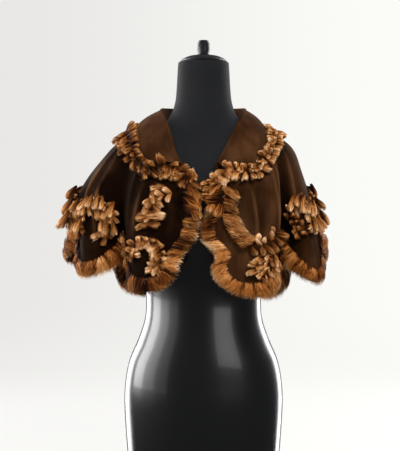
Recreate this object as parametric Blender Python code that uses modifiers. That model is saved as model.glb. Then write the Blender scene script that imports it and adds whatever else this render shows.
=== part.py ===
"""Suede capelet trimmed with fur, worn by a limbless dress form.

Units are metres. +Z is up, the front of the garment faces -Y and +X is to the viewer's right.
The origin is the middle of the dress form's flat base, which everything stands on.

The capelet is one draped surface, read by two coordinates: an angle round the body, 0 at the
centre front and 180 at the centre back, positive to the viewer's right, and a drop, 0 at the
neck seam and 1 at the lowest points of the hem. Panels, collar and fur are all made from it.
"""

import math
from collections import namedtuple

import bmesh
import bpy
import numpy as np
from mathutils import Vector
from mathutils.bvhtree import BVHTree

# Walls and gaps
SUEDE_WALL = 0.002
SEAT_GAP = 0.00035
SEATING_ROUNDS = 6
SEATED_WITHIN = 0.00002
MOST_SETTLING = 0.012
SETTLING_HALVINGS = 12
SETTLED_CLEAR = 1.3
SEAM_GAP = 0.0004
FUR_GAP = 0.0020
FUR_SEAM = 0.0024
COLLAR_FUR_GAP = 0.0012
COLLAR_FUR_CLEAR = 0.0058
COLLAR_LIFT = 0.0045
COLLAR_FOOT_RISE = 0.0030

# Dress form: height of the joint between the bare torso and its covered neck and shoulders
FORM_JOINT = 0.575
FORM_SIDES = 32
TORSO_STEPS = 18
NECK_STEPS = 20

FormSection = namedtuple("FormSection", "height half_width front back")
TORSO_SECTIONS = [
    FormSection(0.000, 0.156, 0.100, 0.108),
    FormSection(0.070, 0.162, 0.106, 0.118),
    FormSection(0.139, 0.166, 0.108, 0.124),
    FormSection(0.187, 0.164, 0.106, 0.121),
    FormSection(0.233, 0.155, 0.103, 0.110),
    FormSection(0.276, 0.137, 0.097, 0.094),
    FormSection(0.317, 0.1235, 0.090, 0.081),
    FormSection(0.355, 0.1205, 0.087, 0.076),
    FormSection(0.400, 0.124, 0.092, 0.079),
    FormSection(0.450, 0.131, 0.106, 0.085),
    FormSection(0.510, 0.141, 0.124, 0.092),
    FormSection(0.550, 0.146, 0.118, 0.096),
    FormSection(0.575, 0.149, 0.110, 0.098),
]
NECK_SECTIONS = [
    FormSection(0.5753, 0.149, 0.110, 0.098),
    FormSection(0.610, 0.156, 0.094, 0.099),
    FormSection(0.640, 0.168, 0.079, 0.096),
    FormSection(0.662, 0.173, 0.068, 0.090),
    FormSection(0.680, 0.163, 0.061, 0.084),
    FormSection(0.695, 0.141, 0.057, 0.080),
    FormSection(0.708, 0.113, 0.055, 0.076),
    FormSection(0.724, 0.086, 0.054, 0.070),
    FormSection(0.744, 0.0695, 0.053, 0.063),
    FormSection(0.770, 0.0600, 0.052, 0.057),
    FormSection(0.800, 0.0565, 0.051, 0.053),
    FormSection(0.850, 0.0535, 0.051, 0.051),
    FormSection(0.855, 0.0505, 0.049, 0.049),
    FormSection(0.860, 0.0400, 0.039, 0.039),
    FormSection(0.864, 0.0200, 0.020, 0.020),
]

# Cap plate and knob on the neck, as (radius, height) down the outer side and back under
CAP_PROFILE = [
    (0.0000, 0.8745),
    (0.0120, 0.8740),
    (0.0300, 0.8715),
    (0.0430, 0.8660),
    (0.0485, 0.8615),
    (0.0480, 0.8600),
    (0.0420, 0.8650),
    (0.0300, 0.8682),
    (0.0000, 0.8692),
]
KNOB_PROFILE = [
    (0.0000, 0.9055),
    (0.0080, 0.9052),
    (0.0112, 0.9030),
    (0.0130, 0.8980),
    (0.0136, 0.8900),
    (0.0132, 0.8830),
    (0.0118, 0.8775),
    (0.0116, 0.8750),
    (0.0000, 0.8750),
]
TURNED_STEPS = 20

# The draped surface: one row for each ring, from the neck seam down to the hem
ClothRing = namedtuple("ClothRing", "drop half_width side_shift front back z_front z_side z_back")
CLOTH_RINGS = [
    ClothRing(0.00, 0.0815, 0.000, 0.1040, 0.080, 0.600, 0.7350, 0.744),
    ClothRing(0.14, 0.1120, 0.000, 0.1190, 0.102, 0.584, 0.7200, 0.716),
    ClothRing(0.30, 0.1640, -0.001, 0.1320, 0.121, 0.560, 0.6970, 0.672),
    ClothRing(0.42, 0.1960, -0.004, 0.1400, 0.133, 0.535, 0.6670, 0.628),
    ClothRing(0.60, 0.2360, -0.015, 0.1490, 0.150, 0.490, 0.5980, 0.548),
    ClothRing(0.80, 0.2590, -0.012, 0.1570, 0.166, 0.440, 0.5180, 0.452),
    ClothRing(1.00, 0.2680, -0.008, 0.1630, 0.180, 0.392, 0.4400, 0.358),
    ClothRing(1.20, 0.2760, -0.006, 0.1680, 0.190, 0.344, 0.3700, 0.268),
]

# Troughs and, with a negative depth, ridges that run down the cloth from where they start
Fold = namedtuple("Fold", "angle start_angle depth half_angle starts")
FOLDS = [
    Fold(-165, -172, 0.030, 8.0, 0.40),
    Fold(-126, -130, 0.046, 9.0, 0.38),
    Fold(-100, -96, -0.014, 20.0, 0.30),
    Fold(-80, -86, 0.036, 8.0, 0.40),
    Fold(-41, -62, 0.064, 7.0, 0.24),
    Fold(-58, -76, -0.012, 6.5, 0.30),
    Fold(-28, -40, -0.006, 8.0, 0.25),
    Fold(26, 38, -0.006, 8.0, 0.25),
    Fold(43, 66, 0.062, 6.8, 0.26),
    Fold(82, 90, 0.034, 8.5, 0.40),
    Fold(124, 130, 0.044, 9.0, 0.38),
    Fold(163, 170, 0.032, 8.0, 0.40),
]

# Hem scallops, one tab of suede each, with the drop of the notch at each end
Tab = namedtuple("Tab", "name start end first_notch bottom last_notch")
TABS = [
    Tab("front_1_right", 10.0, 43.0, 0.84, 1.00, 0.74),
    Tab("front_2_right", 43.0, 82.0, 0.74, 1.01, 0.74),
    Tab("side_right", 82.0, 124.0, 0.74, 0.93, 0.74),
    Tab("back_1_right", 124.0, 163.0, 0.74, 1.00, 0.77),
    Tab("back_centre", 163.0, 195.0, 0.77, 0.98, 0.77),
    Tab("back_1_left", 195.0, 234.0, 0.77, 0.98, 0.75),
    Tab("side_left", 234.0, 280.0, 0.75, 0.93, 0.74),
    Tab("front_2_left", 280.0, 319.0, 0.74, 0.96, 0.74),
    Tab("front_1_left", 319.0, 343.0, 0.74, 0.97, 0.82),
]
TAB_STEPS = 10
NOTCH_RISE = 0.034
NOTCH_EASE = 0.014
NOTCH_SPREAD = 0.5
NOTCH_FUR_CLEAR = 0.003
NOTCH_FUR_HEIGHT = 0.36
NOTCH_FUR_REACH = 10.0
SIDE_SEAMS = (102.0, 258.0)

# Front edges: the angle of the suede's edge at each drop, down into the first tabs
FrontEdge = namedtuple("FrontEdge", "drop left right")
FRONT_EDGES = [
    FrontEdge(0.00, -7.0, 7.0),
    FrontEdge(0.12, -12.0, 10.5),
    FrontEdge(0.22, -14.5, 13.8),
    FrontEdge(0.32, -12.2, 11.4),
    FrontEdge(0.42, -10.0, 9.7),
    FrontEdge(0.50, -10.4, 6.2),
    FrontEdge(0.60, -10.8, 5.6),
    FrontEdge(0.68, -13.5, 9.5),
    FrontEdge(0.75, -16.0, 11.8),
    FrontEdge(0.82, -17.2, 10.0),
    FrontEdge(1.20, -17.0, 10.0),
]
FRONT_FUR_TOP = 0.205
FRONT_FUR_SPLIT = 0.70
FRONT_FUR_BREAK = 0.008
FRONT_FUR_RINGS = 26
LOW_FRONT_RINGS = 9
LOW_FRONT_CLEAR = 0.015
SEAM_FUR_INSET = 0.15
PANEL_ROWS = 12
ROW_CLOSING = 0.93

# Collar, from its left front end round the back to its right front end: the roll line round
# the neck and the outer edge that lies on the shoulders
CollarStation = namedtuple("CollarStation", "roll_x roll_y roll_z edge_x edge_y edge_z")
COLLAR_STATIONS = [
    CollarStation(-0.0500, -0.1010, 0.6430, -0.1120, -0.0960, 0.6330),
    CollarStation(-0.0580, -0.0840, 0.6680, -0.1290, -0.0760, 0.6600),
    CollarStation(-0.0660, -0.0630, 0.7020, -0.1420, -0.0500, 0.6880),
    CollarStation(-0.0780, -0.0380, 0.7360, -0.1490, -0.0200, 0.7080),
    CollarStation(-0.0850, 0.0000, 0.7560, -0.1480, 0.0250, 0.7170),
    CollarStation(-0.0760, 0.0420, 0.7610, -0.1300, 0.0760, 0.7120),
    CollarStation(-0.0440, 0.0720, 0.7620, -0.0770, 0.1220, 0.6980),
    CollarStation(0.0000, 0.0830, 0.7620, 0.0000, 0.1400, 0.6930),
    CollarStation(0.0440, 0.0720, 0.7620, 0.0740, 0.1220, 0.6980),
    CollarStation(0.0760, 0.0420, 0.7610, 0.1200, 0.0760, 0.7120),
    CollarStation(0.0840, 0.0000, 0.7560, 0.1320, 0.0250, 0.7180),
    CollarStation(0.0750, -0.0400, 0.7360, 0.1310, -0.0200, 0.7090),
    CollarStation(0.0570, -0.0660, 0.7000, 0.1260, -0.0520, 0.6850),
    CollarStation(0.0400, -0.0870, 0.6670, 0.1160, -0.0780, 0.6570),
    CollarStation(0.0250, -0.1060, 0.6390, 0.0960, -0.0990, 0.6300),
]
COLLAR_STEPS = 35
ROLL_RADIUS = 0.0035
COLLAR_CROWN = 0.006
COLLAR_STAND_SHARE = 0.55
COLLAR_FALL_SHARES = (0.22, 0.45, 0.70, 1.0)

# The closure under the collar: a bar of dark braid, (x, y, z) of its middle and its sizes
CLOSURE_MIDDLE = (-0.0045, -0.1124, 0.6085)
CLOSURE_SIZE = (0.024, 0.003, 0.009)
CLOSURE_ROUNDING = 0.0012

# Fur: a band is sewn on at each edge, and a looped strip lies on the suede inside it
BAND_WIDTH = 0.031
BAND_HEIGHT = 0.012
LOOP_HEIGHT = 0.014
COLLAR_FUR_WIDTH = 0.034
COLLAR_FUR_HEIGHT = 0.011
COLLAR_FUR_SEAT = 0.7
COLLAR_FUR_END = 0.004
TUFT_PITCH = 0.030
TUFT_SWELL = 0.16
FUR_RING_STEP = 0.0130
ROUTE_STEPS = 60
END_TAPER = 0.020
END_SIZE = 0.55

# Looped strips, each with the (angle, drop) places that its middle passes over
LoopStrip = namedtuple("LoopStrip", "width route")
LOOP_STRIPS = {
    "loops_front_left": LoopStrip(0.036, [
        (-25, 0.31), (-29, 0.38), (-29.5, 0.46), (-28, 0.54), (-27.5, 0.62),
    ]),
    "loops_front_right": LoopStrip(0.034, [
        (20.5, 0.24), (17.2, 0.33), (15.9, 0.44), (17, 0.57), (21, 0.67),
        (26.5, 0.735), (32, 0.74), (37, 0.70),
    ]),
    "loops_1_left": LoopStrip(0.024, [
        (-31, 0.83), (-31, 0.765), (-28.5, 0.715), (-24, 0.705), (-20.8, 0.75), (-20.3, 0.83), (-21.3, 0.90),
    ]),
    "loops_1_right": LoopStrip(0.050, [(28.5, 0.81), (28, 0.86), (26.5, 0.91), (24.5, 0.95)]),
}
# Looped arches over the other tabs: straight legs that start below the notches, and a round top
ARCH_RISE = 0.105
ARCH_FALL = 0.06
ARCH_EDGE = 0.003
ARCH_TOP_TURNS = (0, 45, 90)
# For each arched tab: the strip's width and the degrees by which it starts and ends further in
Arch = namedtuple("Arch", "width first last")
ARCHED = {
    "front_2_left": Arch(0.034, 0.0, 2.0),
    "side_left": Arch(0.032, 0.0, 0.0),
    "back_1_left": Arch(0.032, 0.0, 0.0),
    "back_centre": Arch(0.026, 0.0, 0.0),
    "back_1_right": Arch(0.030, 0.0, 0.0),
    "side_right": Arch(0.028, 0.0, 0.0),
    "front_2_right": Arch(0.031, 3.0, 0.0),
}

# The collar's fur starts on the neck seam, at these places of angle and drop on either side
COLLAR_FUR_STARTS = {
    "left": [(-6.0, 0.030), (-15.0, 0.025), (-24.0, 0.02)],
    "right": [(4.0, 0.03), (11.0, 0.03)],
}

# Colours of the finishes: red, green, blue, roughness
SUEDE = (0.065, 0.030, 0.016, 0.95)
FUR = (0.300, 0.120, 0.035, 0.85)
GLOSS_BLACK = (0.010, 0.011, 0.013, 0.10)
BLACK_JERSEY = (0.020, 0.021, 0.023, 0.90)
BRAID = (0.020, 0.022, 0.012, 0.80)
SATIN_BLACK = (0.008, 0.008, 0.009, 0.45)


def through(rows, steps_or_places):
    """Points on a smooth curve through rows, at even steps or at places from 0 to 1."""
    rows = np.array(rows, float)
    last = len(rows) - 1
    if np.isscalar(steps_or_places):
        places = np.linspace(0, 1, steps_or_places)
    else:
        places = np.array(steps_or_places, float)
    at = np.clip(places, 0, 1) * last
    k = np.minimum(at.astype(int), last - 1)
    f = (at - k)[:, None]
    before, after = np.maximum(k - 1, 0), np.minimum(k + 2, last)
    p0, p1, p2, p3 = rows[before], rows[k], rows[k + 1], rows[after]
    bend = 2 * p0 - 5 * p1 + 4 * p2 - p3
    twist = 3 * p1 - p0 - 3 * p2 + p3
    return 0.5 * (2 * p1 + (p2 - p0) * f + bend * f**2 + twist * f**3)


def table_at(rows, value):
    """The other columns of a table at a value of its first column, on a smooth curve."""
    keys = np.array([row[0] for row in rows], float)
    value = min(max(value, keys[0]), keys[-1])
    k = min(int(np.searchsorted(keys, value, side="right")) - 1, len(keys) - 2)
    place = (k + (value - keys[k]) / (keys[k + 1] - keys[k])) / (len(keys) - 1)
    return through([row[1:] for row in rows], [place])[0]


def smooth_step(x):
    x = min(max(x, 0.0), 1.0)
    return x * x * (3 - 2 * x)


def angle_between(a, b):
    """The signed angle from b to a in degrees, from -180 to 180."""
    return (a - b + 180) % 360 - 180


def cloth_point(angle, drop):
    """The middle of the suede wall at an angle round the body and a drop from the neck seam."""
    half_width, side_shift, front, back, z_front, z_side, z_back = table_at(CLOTH_RINGS, drop)
    turn = math.radians(angle)
    facing = math.cos(turn)
    depth, z_end = (front, z_front) if facing > 0 else (back, z_back)
    x = half_width * math.sin(turn) + side_shift * math.sin(turn) ** 2
    y = -depth * facing
    z = z_side + (z_end - z_side) * facing * facing
    inward = Vector((-x / half_width**2, -y / depth**2, 0)).normalized()
    push = 0.0
    for fold in FOLDS:
        run = min(max((drop - fold.starts) / (1 - fold.starts), 0.0), 1.0)
        centre = fold.angle + (fold.start_angle - fold.angle) * (1 - run) ** 1.5
        share = angle_between(angle, centre) / fold.half_angle
        grown = smooth_step(run) ** 0.8
        push += fold.depth * grown * math.exp(-share * share)
    return Vector((x, y, z)) + inward * push


def cloth_normal(angle, drop):
    """The outward normal of the draped surface."""
    d_angle, d_drop = 0.4, 0.006
    round_body = cloth_point(angle + d_angle, drop) - cloth_point(angle - d_angle, drop)
    low, high = max(drop - d_drop, 0.0), min(drop + d_drop, CLOTH_RINGS[-1].drop)
    down = cloth_point(angle, high) - cloth_point(angle, low)
    return down.cross(round_body).normalized()


def new_object(name, mesh, finish, smooth=True):
    """An object in the garment's collection, with a material of its own."""
    red, green, blue, rough = finish
    material = bpy.data.materials.new(name)
    material.use_nodes = True
    shader = material.node_tree.nodes["Principled BSDF"]
    shader.inputs["Base Color"].default_value = (red, green, blue, 1)
    shader.inputs["Roughness"].default_value = rough
    mesh.materials.append(material)
    if smooth:
        mesh.shade_smooth()
        mesh.set_sharp_from_angle(angle=math.radians(50))
    made = bpy.data.objects.new(name, mesh)
    GARMENT.objects.link(made)
    return made


def mesh_of(name, points, faces):
    mesh = bpy.data.meshes.new(name)
    mesh.from_pydata([tuple(p) for p in points], [], faces)
    mesh.update()
    return mesh


def grid_faces(columns, rows):
    """Quads of an open grid whose points run down each column in turn."""
    return [
        (i * rows + j, i * rows + j + 1, (i + 1) * rows + j + 1, (i + 1) * rows + j)
        for i in range(columns - 1)
        for j in range(rows - 1)
    ]


def loft(name, rings, finish):
    """A closed body through rings of equal length, flat at both ends."""
    sides = len(rings[0])
    points = [p for ring in rings for p in ring]
    faces = [tuple(range(sides))[::-1]]
    for k in range(len(rings) - 1):
        low, high = k * sides, (k + 1) * sides
        faces += [
            (low + i, low + (i + 1) % sides, high + (i + 1) % sides, high + i) for i in range(sides)
        ]
    faces.append(tuple(range(len(points) - sides, len(points))))
    mesh = mesh_of(name, points, faces)
    shape = bmesh.new()
    shape.from_mesh(mesh)
    bmesh.ops.recalc_face_normals(shape, faces=shape.faces)
    shape.to_mesh(mesh)
    shape.free()
    return new_object(name, mesh, finish)


def form_ring(section):
    """One level section of the dress form: two half ellipses."""
    ring = []
    for i in range(FORM_SIDES):
        turn = 2 * math.pi * i / FORM_SIDES
        depth = section.front if math.cos(turn) > 0 else section.back
        x = section.half_width * math.sin(turn)
        y = -depth * math.cos(turn)
        ring.append(Vector((x, y, section.height)))
    return ring


def form_body(name, sections, finish, steps):
    rows = through([tuple(s) for s in sections], steps)
    return loft(name, [form_ring(FormSection(*row)) for row in rows], finish)


def turned(name, profile, finish):
    """A body turned about the form's axis from a profile."""
    mesh = mesh_of(name, [(r, 0, z) for r, z in profile], [])
    shape = bmesh.new()
    shape.from_mesh(mesh)
    shape.verts.ensure_lookup_table()
    for k in range(len(profile) - 1):
        shape.edges.new((shape.verts[k], shape.verts[k + 1]))
    shape.to_mesh(mesh)
    shape.free()
    made = new_object(name, mesh, finish, smooth=False)
    screw = made.modifiers.new("turn", "SCREW")
    screw.steps = TURNED_STEPS
    screw.render_steps = TURNED_STEPS
    screw.use_merge_vertices = True
    screw.merge_threshold = 0.00005
    screw.use_smooth_shade = True
    return made


def edge_angle(side, drop):
    """The angle of a front edge at a drop, from 0 to 360."""
    left, right = table_at(FRONT_EDGES, drop)
    return left + 360 if side < 0 else right


def degrees_across(angle, drop, sense, width):
    """How many degrees round the body a width along the cloth takes up."""
    step, walked, turned_by = 0.25, 0.0, 0.0
    before = cloth_point(angle, drop)
    while walked < width:
        turned_by += step
        here = cloth_point(angle + sense * turned_by, drop)
        walked += (here - before).length
        before = here
    return turned_by


def drop_of(width, angle, drop):
    """How much drop a width down the cloth takes up."""
    return width * 0.05 / (cloth_point(angle, drop + 0.05) - cloth_point(angle, drop)).length


HemStation = namedtuple("HemStation", "angle drop fur_angle fur_drop")


def scallop(share):
    return max(0.0, 1 - abs(share) ** 2.3) ** 0.52


def tab_stations(tab):
    """Stations from one notch of a tab to the other: the suede's edge and its fur's edge."""
    first, last = tab.start, tab.end
    at_front = (tab.start < 30, tab.end > 330)
    if not at_front[0]:
        first += degrees_across(first, tab.first_notch, 1, BAND_WIDTH)
    if not at_front[1]:
        last -= degrees_across(last, tab.last_notch, -1, BAND_WIDTH)
    middle = (tab.start + tab.end) / 2
    stations = []
    shares = [math.sin(math.pi * (k / TAB_STEPS - 0.5)) for k in range(TAB_STEPS + 1)]
    for share in shares:
        angle = (first + last) / 2 + (last - first) / 2 * share
        end = 0 if share < 0 else 1
        notch = tab.first_notch if end == 0 else tab.last_notch
        drop = notch + (tab.bottom - notch) * scallop(share)
        bottom = tab.bottom + drop_of(BAND_WIDTH, middle, tab.bottom)
        if at_front[end]:
            fur_notch = notch
            reach = degrees_across(angle, notch, -1 if end == 0 else 1, BAND_WIDTH)
            edge = tab.start - reach if end == 0 else tab.end + reach
        else:
            fur_notch = notch + NOTCH_RISE - NOTCH_FUR_CLEAR
            edge = tab.start + NOTCH_SPREAD if end == 0 else tab.end - NOTCH_SPREAD
        fur_angle = middle + (edge - middle) * abs(share)
        fur_drop = fur_notch + (bottom - fur_notch) * scallop(share)
        stations.append(HemStation(angle, drop, fur_angle, fur_drop))
    return stations


def notch_stations(tab):
    """Stations across the notch that ends a tab."""
    drop, angle = tab.last_notch, tab.end
    found = []
    for across in (-0.5, 0.0, 0.5):
        side = 1 if across > 0 else -1
        reach = degrees_across(angle, drop, side, BAND_WIDTH * abs(across)) if across else 0.0
        hem = drop - NOTCH_EASE
        fur_angle = angle + NOTCH_SPREAD * across
        found.append(HemStation(angle + side * reach, hem, fur_angle, drop + NOTCH_RISE))
    return found


def hem_stations():
    """The whole hem from the right front edge round the back to the left one."""
    found = []
    for tab in TABS:
        found += tab_stations(tab)
        if tab is not TABS[-1]:
            found += notch_stations(tab)
    return found


def between(stations, low, high):
    """The stations from one angle to another, with new ones put in at both."""
    angles = [s.angle for s in stations]
    rows = np.array(stations)

    def at(angle):
        return HemStation(*(float(np.interp(angle, angles, rows[:, k])) for k in range(4)))

    inner = [s for s in stations if low + 0.3 < s.angle < high - 0.3]
    return [at(low)] + inner + [at(high)]


def front_shift(side, angle, drop):
    """How far a column near a front edge is carried sideways to follow that edge."""
    if not side:
        return 0.0
    tab = TABS[-1] if side < 0 else TABS[0]
    edge, other = (tab.end, tab.start) if side < 0 else (tab.start, tab.end)
    middle = (edge + other) / 2
    share = (angle - middle) / (edge - middle)
    return (edge_angle(side, drop) - edge) * smooth_step(share) if share > 0 else 0.0


def panel_grid(stations, side):
    """Angles and drops of a panel's grid: a list of columns, each a list down the cloth."""
    grid = []
    for station in stations:
        grid.append([
            (station.angle + front_shift(side, station.angle, drop), drop) for drop in row_drops(station.drop)
        ])
    return grid


def seam_inset(grid, ends):
    """Draws the named ends of a panel back by half the seam gap."""
    for end, sense in ends:
        column = grid[end]
        for j, (angle, drop) in enumerate(column):
            step = (cloth_point(angle + 0.5, drop) - cloth_point(angle, drop)).length / 0.5
            column[j] = (angle + sense * SEAM_GAP / 2 / step, drop)
    return grid


def row_drops(hem):
    """The drops of a panel's rows of points down a column that ends at a hem."""
    return [hem * (j / PANEL_ROWS) ** ROW_CLOSING for j in range(PANEL_ROWS + 1)]


def front_stations(side, top, bottom, steps):
    """Stations down a front edge, with the fur's edge level with the suede's.

    The edge is taken between the same rows of points as the panel's.
    """
    rows = row_drops(TABS[-1].last_notch if side < 0 else TABS[0].first_notch)
    edges = [edge_angle(side, row) for row in rows]
    found = []
    for drop in np.linspace(top, bottom, steps):
        angle = float(np.interp(drop, rows, edges))
        reach = degrees_across(angle, drop, -side, BAND_WIDTH)
        found.append(HemStation(angle, drop, angle - side * reach, drop))
    return found


def panel(name, grid):
    """A suede panel: the open grid of its middle, thickened both ways."""
    points = [cloth_point(angle, drop) for column in grid for angle, drop in column]
    mesh = mesh_of(name, points, grid_faces(len(grid), len(grid[0])))
    made = new_object(name, mesh, SUEDE)
    wall = made.modifiers.new("wall", "SOLIDIFY")
    wall.thickness = SUEDE_WALL
    wall.offset = 0
    wall.use_quality_normals = True
    return made


def sheet_tree(grids):
    """A search tree over the middle surface of one or more grids of points."""
    points, faces = [], []
    for grid in grids:
        base = len(points)
        points += [p for column in grid for p in column]
        faces += [tuple(base + k for k in face) for face in grid_faces(len(grid), len(grid[0]))]
    return BVHTree.FromPolygons([tuple(p) for p in points], faces)


def held_off(tree, point, distance, outward):
    """The point, moved along outward until it is that far clear of the sheet."""
    moved = Vector(point)
    for _ in range(6):
        place, normal, _, gap = tree.find_nearest(moved)
        if normal.dot(outward) < 0:
            normal = -normal
        height = (moved - place).dot(normal)
        if abs(height) < 0.4 * gap:
            return moved
        if height >= distance:
            return moved
        moved = moved + outward * max(distance - height, 0.0001) / max(normal.dot(outward), 0.35)
    return moved


def collar_grid():
    """Points of the collar from the neck seam over the roll to the outer edge."""
    rows = through(COLLAR_STATIONS, COLLAR_STEPS)
    grid = []
    for row in rows:
        roll, edge = Vector(row[:3]), Vector(row[3:])
        neck = CLOTH_RINGS[0]
        depth = neck.back if roll.y > 0 else neck.front
        angle = math.degrees(math.atan2(roll.x / neck.half_width, -roll.y / depth))
        seam = cloth_point(angle, 0.0)
        down = (cloth_point(angle, 0.03) - seam).normalized()
        foot = seam - down * SEAM_GAP + Vector((0, 0, COLLAR_FOOT_RISE))
        out = Vector((edge.x - roll.x, edge.y - roll.y, 0)).normalized()
        up = Vector((0, 0, 1))
        fall_start = roll + out * 2 * ROLL_RADIUS
        lean = (edge - fall_start).cross(Vector((-out.y, out.x, 0))).normalized()
        lean = lean if lean.z > 0 else -lean
        stand = foot.lerp(roll, COLLAR_STAND_SHARE)
        column = [foot, stand, roll, roll + (out + up) * ROLL_RADIUS, fall_start]
        for share in COLLAR_FALL_SHARES:
            crown = COLLAR_CROWN * math.sin(math.pi * share)
            column.append(fall_start.lerp(edge, share) + lean * crown)
        grid.append(column)
    return grid


def collar_outward(point):
    """Up and away from the body, for what lies on the shoulders."""
    return Vector((point.x * 1.6, point.y * 2.2, 0.11)).normalized()


def collar(cloth):
    grid = collar_grid()
    for column in grid:
        for j in range(4, len(column)):
            column[j] = held_off(cloth, column[j], COLLAR_LIFT, collar_outward(column[j]))
    points = [p for column in grid for p in column]
    made = new_object("collar", mesh_of("collar", points, grid_faces(len(grid), len(grid[0]))), SUEDE)
    wall = made.modifiers.new("wall", "SOLIDIFY")
    wall.thickness = SUEDE_WALL
    wall.offset = 0
    wall.use_quality_normals = True
    return grid


def resampled(points, step):
    """The same line with its points an even step apart."""
    points = [Vector(p) for p in points]
    lengths = [0.0]
    for a, b in zip(points, points[1:]):
        lengths.append(lengths[-1] + (b - a).length)
    count = max(int(round(lengths[-1] / step)), 3)
    found, k = [], 0
    for n in range(count + 1):
        at = lengths[-1] * n / count
        while k < len(points) - 2 and lengths[k + 1] < at:
            k += 1
        span = lengths[k + 1] - lengths[k]
        found.append(points[k].lerp(points[k + 1], (at - lengths[k]) / span if span else 0.0))
    return found


def fur_size(along, length):
    """The fullness of a fur strip at a place along it: tufts, and ends that draw in."""
    tuft = 1 - TUFT_SWELL * (0.5 - 0.5 * math.cos(2 * math.pi * along / TUFT_PITCH))
    end = min(along, length - along) / END_TAPER
    return tuft * (END_SIZE + (1 - END_SIZE) * smooth_step(end + 0.1))


# Across a sewn-on band, from the suede's edge at 0 to the tips at 1, and up from the cloth
BAND_SECTION = [
    (0.0, 0.45), (0.30, 0.95), (0.68, 1.00), (1.0, 0.30),
    (1.0, -0.25), (0.68, -0.70), (0.30, -0.65), (0.0, -0.40),
]


def notch_height(angle):
    """The share of its full height that the hem's fur has at an angle: it thins towards a notch."""
    gap = min(abs(angle % 360 - tab.end) for tab in TABS[:-1])
    return NOTCH_FUR_HEIGHT + (1 - NOTCH_FUR_HEIGHT) * smooth_step(gap / NOTCH_FUR_REACH)


def fur_band(name, stations, height=BAND_HEIGHT, bases=None):
    """A band of fur from an edge outward, one ring at each station, with heights over the cloth."""
    centres = [cloth_point((s.angle + s.fur_angle) / 2, (s.drop + s.fur_drop) / 2) for s in stations]
    lengths = np.cumsum([0.0] + [(b - a).length for a, b in zip(centres, centres[1:])])
    rings = []
    for station, along in zip(stations, lengths):
        start = cloth_point(station.angle, station.drop)
        reach = (cloth_point(station.fur_angle, station.fur_drop) - start).length
        size = fur_size(along, lengths[-1])
        inner, outer = bases[len(rings)] if bases else (0.0, 0.0)
        full = height * (1.0 if bases else notch_height(station.angle))
        ring = []
        for across, up in BAND_SECTION:
            share = FUR_SEAM / reach + across * size * (1 - FUR_SEAM / reach)
            angle = station.angle + (station.fur_angle - station.angle) * share
            drop = station.drop + (station.fur_drop - station.drop) * share
            over = inner + (outer - inner) * across + full * up * size
            ring.append(cloth_point(angle, drop) + cloth_normal(angle, drop) * over)
        rings.append(ring)
    return loft(name, rings, FUR)


# Across a looped strip that lies on the suede, and up from it
LOOP_SECTION = [
    (-0.5, 0.0), (-0.3, 0.0), (-0.1, 0.0), (0.1, 0.0), (0.3, 0.0), (0.5, 0.0),
    (0.5, 0.45), (0.28, 1.0), (-0.28, 1.0), (-0.5, 0.45),
]


def lying_strip(name, line, normal_at, width, height, tree):
    """A tufted strip of fur that lies on a sheet along a line of points on it."""
    lengths = np.cumsum([0.0] + [(b - a).length for a, b in zip(line, line[1:])])
    lift = SUEDE_WALL / 2 + FUR_GAP
    rings = []
    for k, point in enumerate(line):
        ahead = line[min(k + 1, len(line) - 1)] - line[max(k - 1, 0)]
        normal = normal_at[k]
        side = ahead.cross(normal).normalized()
        size = fur_size(lengths[k], lengths[-1])
        ring = []
        for across, up in LOOP_SECTION:
            floor = held_off(tree, point + side * across * width * size + normal * lift, lift, normal)
            ring.append(floor + normal * up * height * size)
        rings.append(ring)
    return loft(name, rings, FUR)


def loop_strip(name, width, route, tree):
    """A strip of looped fur on the suede along a route of (angle, drop)."""
    fine = through(route, ROUTE_STEPS)
    points = [cloth_point(a, d) for a, d in fine]
    line = resampled(points, FUR_RING_STEP)
    lengths = np.cumsum([0.0] + [(b - a).length for a, b in zip(points, points[1:])])
    places = np.linspace(0, lengths[-1], len(line))
    angles = np.interp(places, lengths, fine[:, 0])
    drops = np.interp(places, lengths, fine[:, 1])
    normal_at = [cloth_normal(a, d) for a, d in zip(angles, drops)]
    return lying_strip(name, line, normal_at, width, LOOP_HEIGHT, tree)


def arch_route(tab, arch):
    """A route of (angle, drop) that arches over a tab and runs down inside both its edges."""
    stations = tab_stations(tab)
    first, last = stations[0], stations[-1]
    clear = arch.width / 2 + ARCH_EDGE
    low = first.angle + degrees_across(first.angle, first.drop, 1, clear) + arch.first
    high = last.angle - degrees_across(last.angle, last.drop, -1, clear) - arch.last
    middle, half = (low + high) / 2, (high - low) / 2
    span = (cloth_point(high, first.drop) - cloth_point(low, first.drop)).length
    radius = drop_of(span / 2, middle, first.drop)
    foot = ARCH_RISE - min(radius, ARCH_RISE)
    shape = [(-0.95, -ARCH_FALL), (-1.0, foot / 2 - ARCH_FALL / 2)]
    for turn in ARCH_TOP_TURNS:
        turned_by = math.radians(turn)
        shape.append((-math.cos(turned_by), foot + (ARCH_RISE - foot) * math.sin(turned_by)))
    shape += [(-share, rise) for share, rise in shape[-2::-1]]
    route = []
    for share, rise in shape:
        notch = first.drop if share < 0 else last.drop
        route.append((middle + half * share, notch - rise))
    return route


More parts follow.
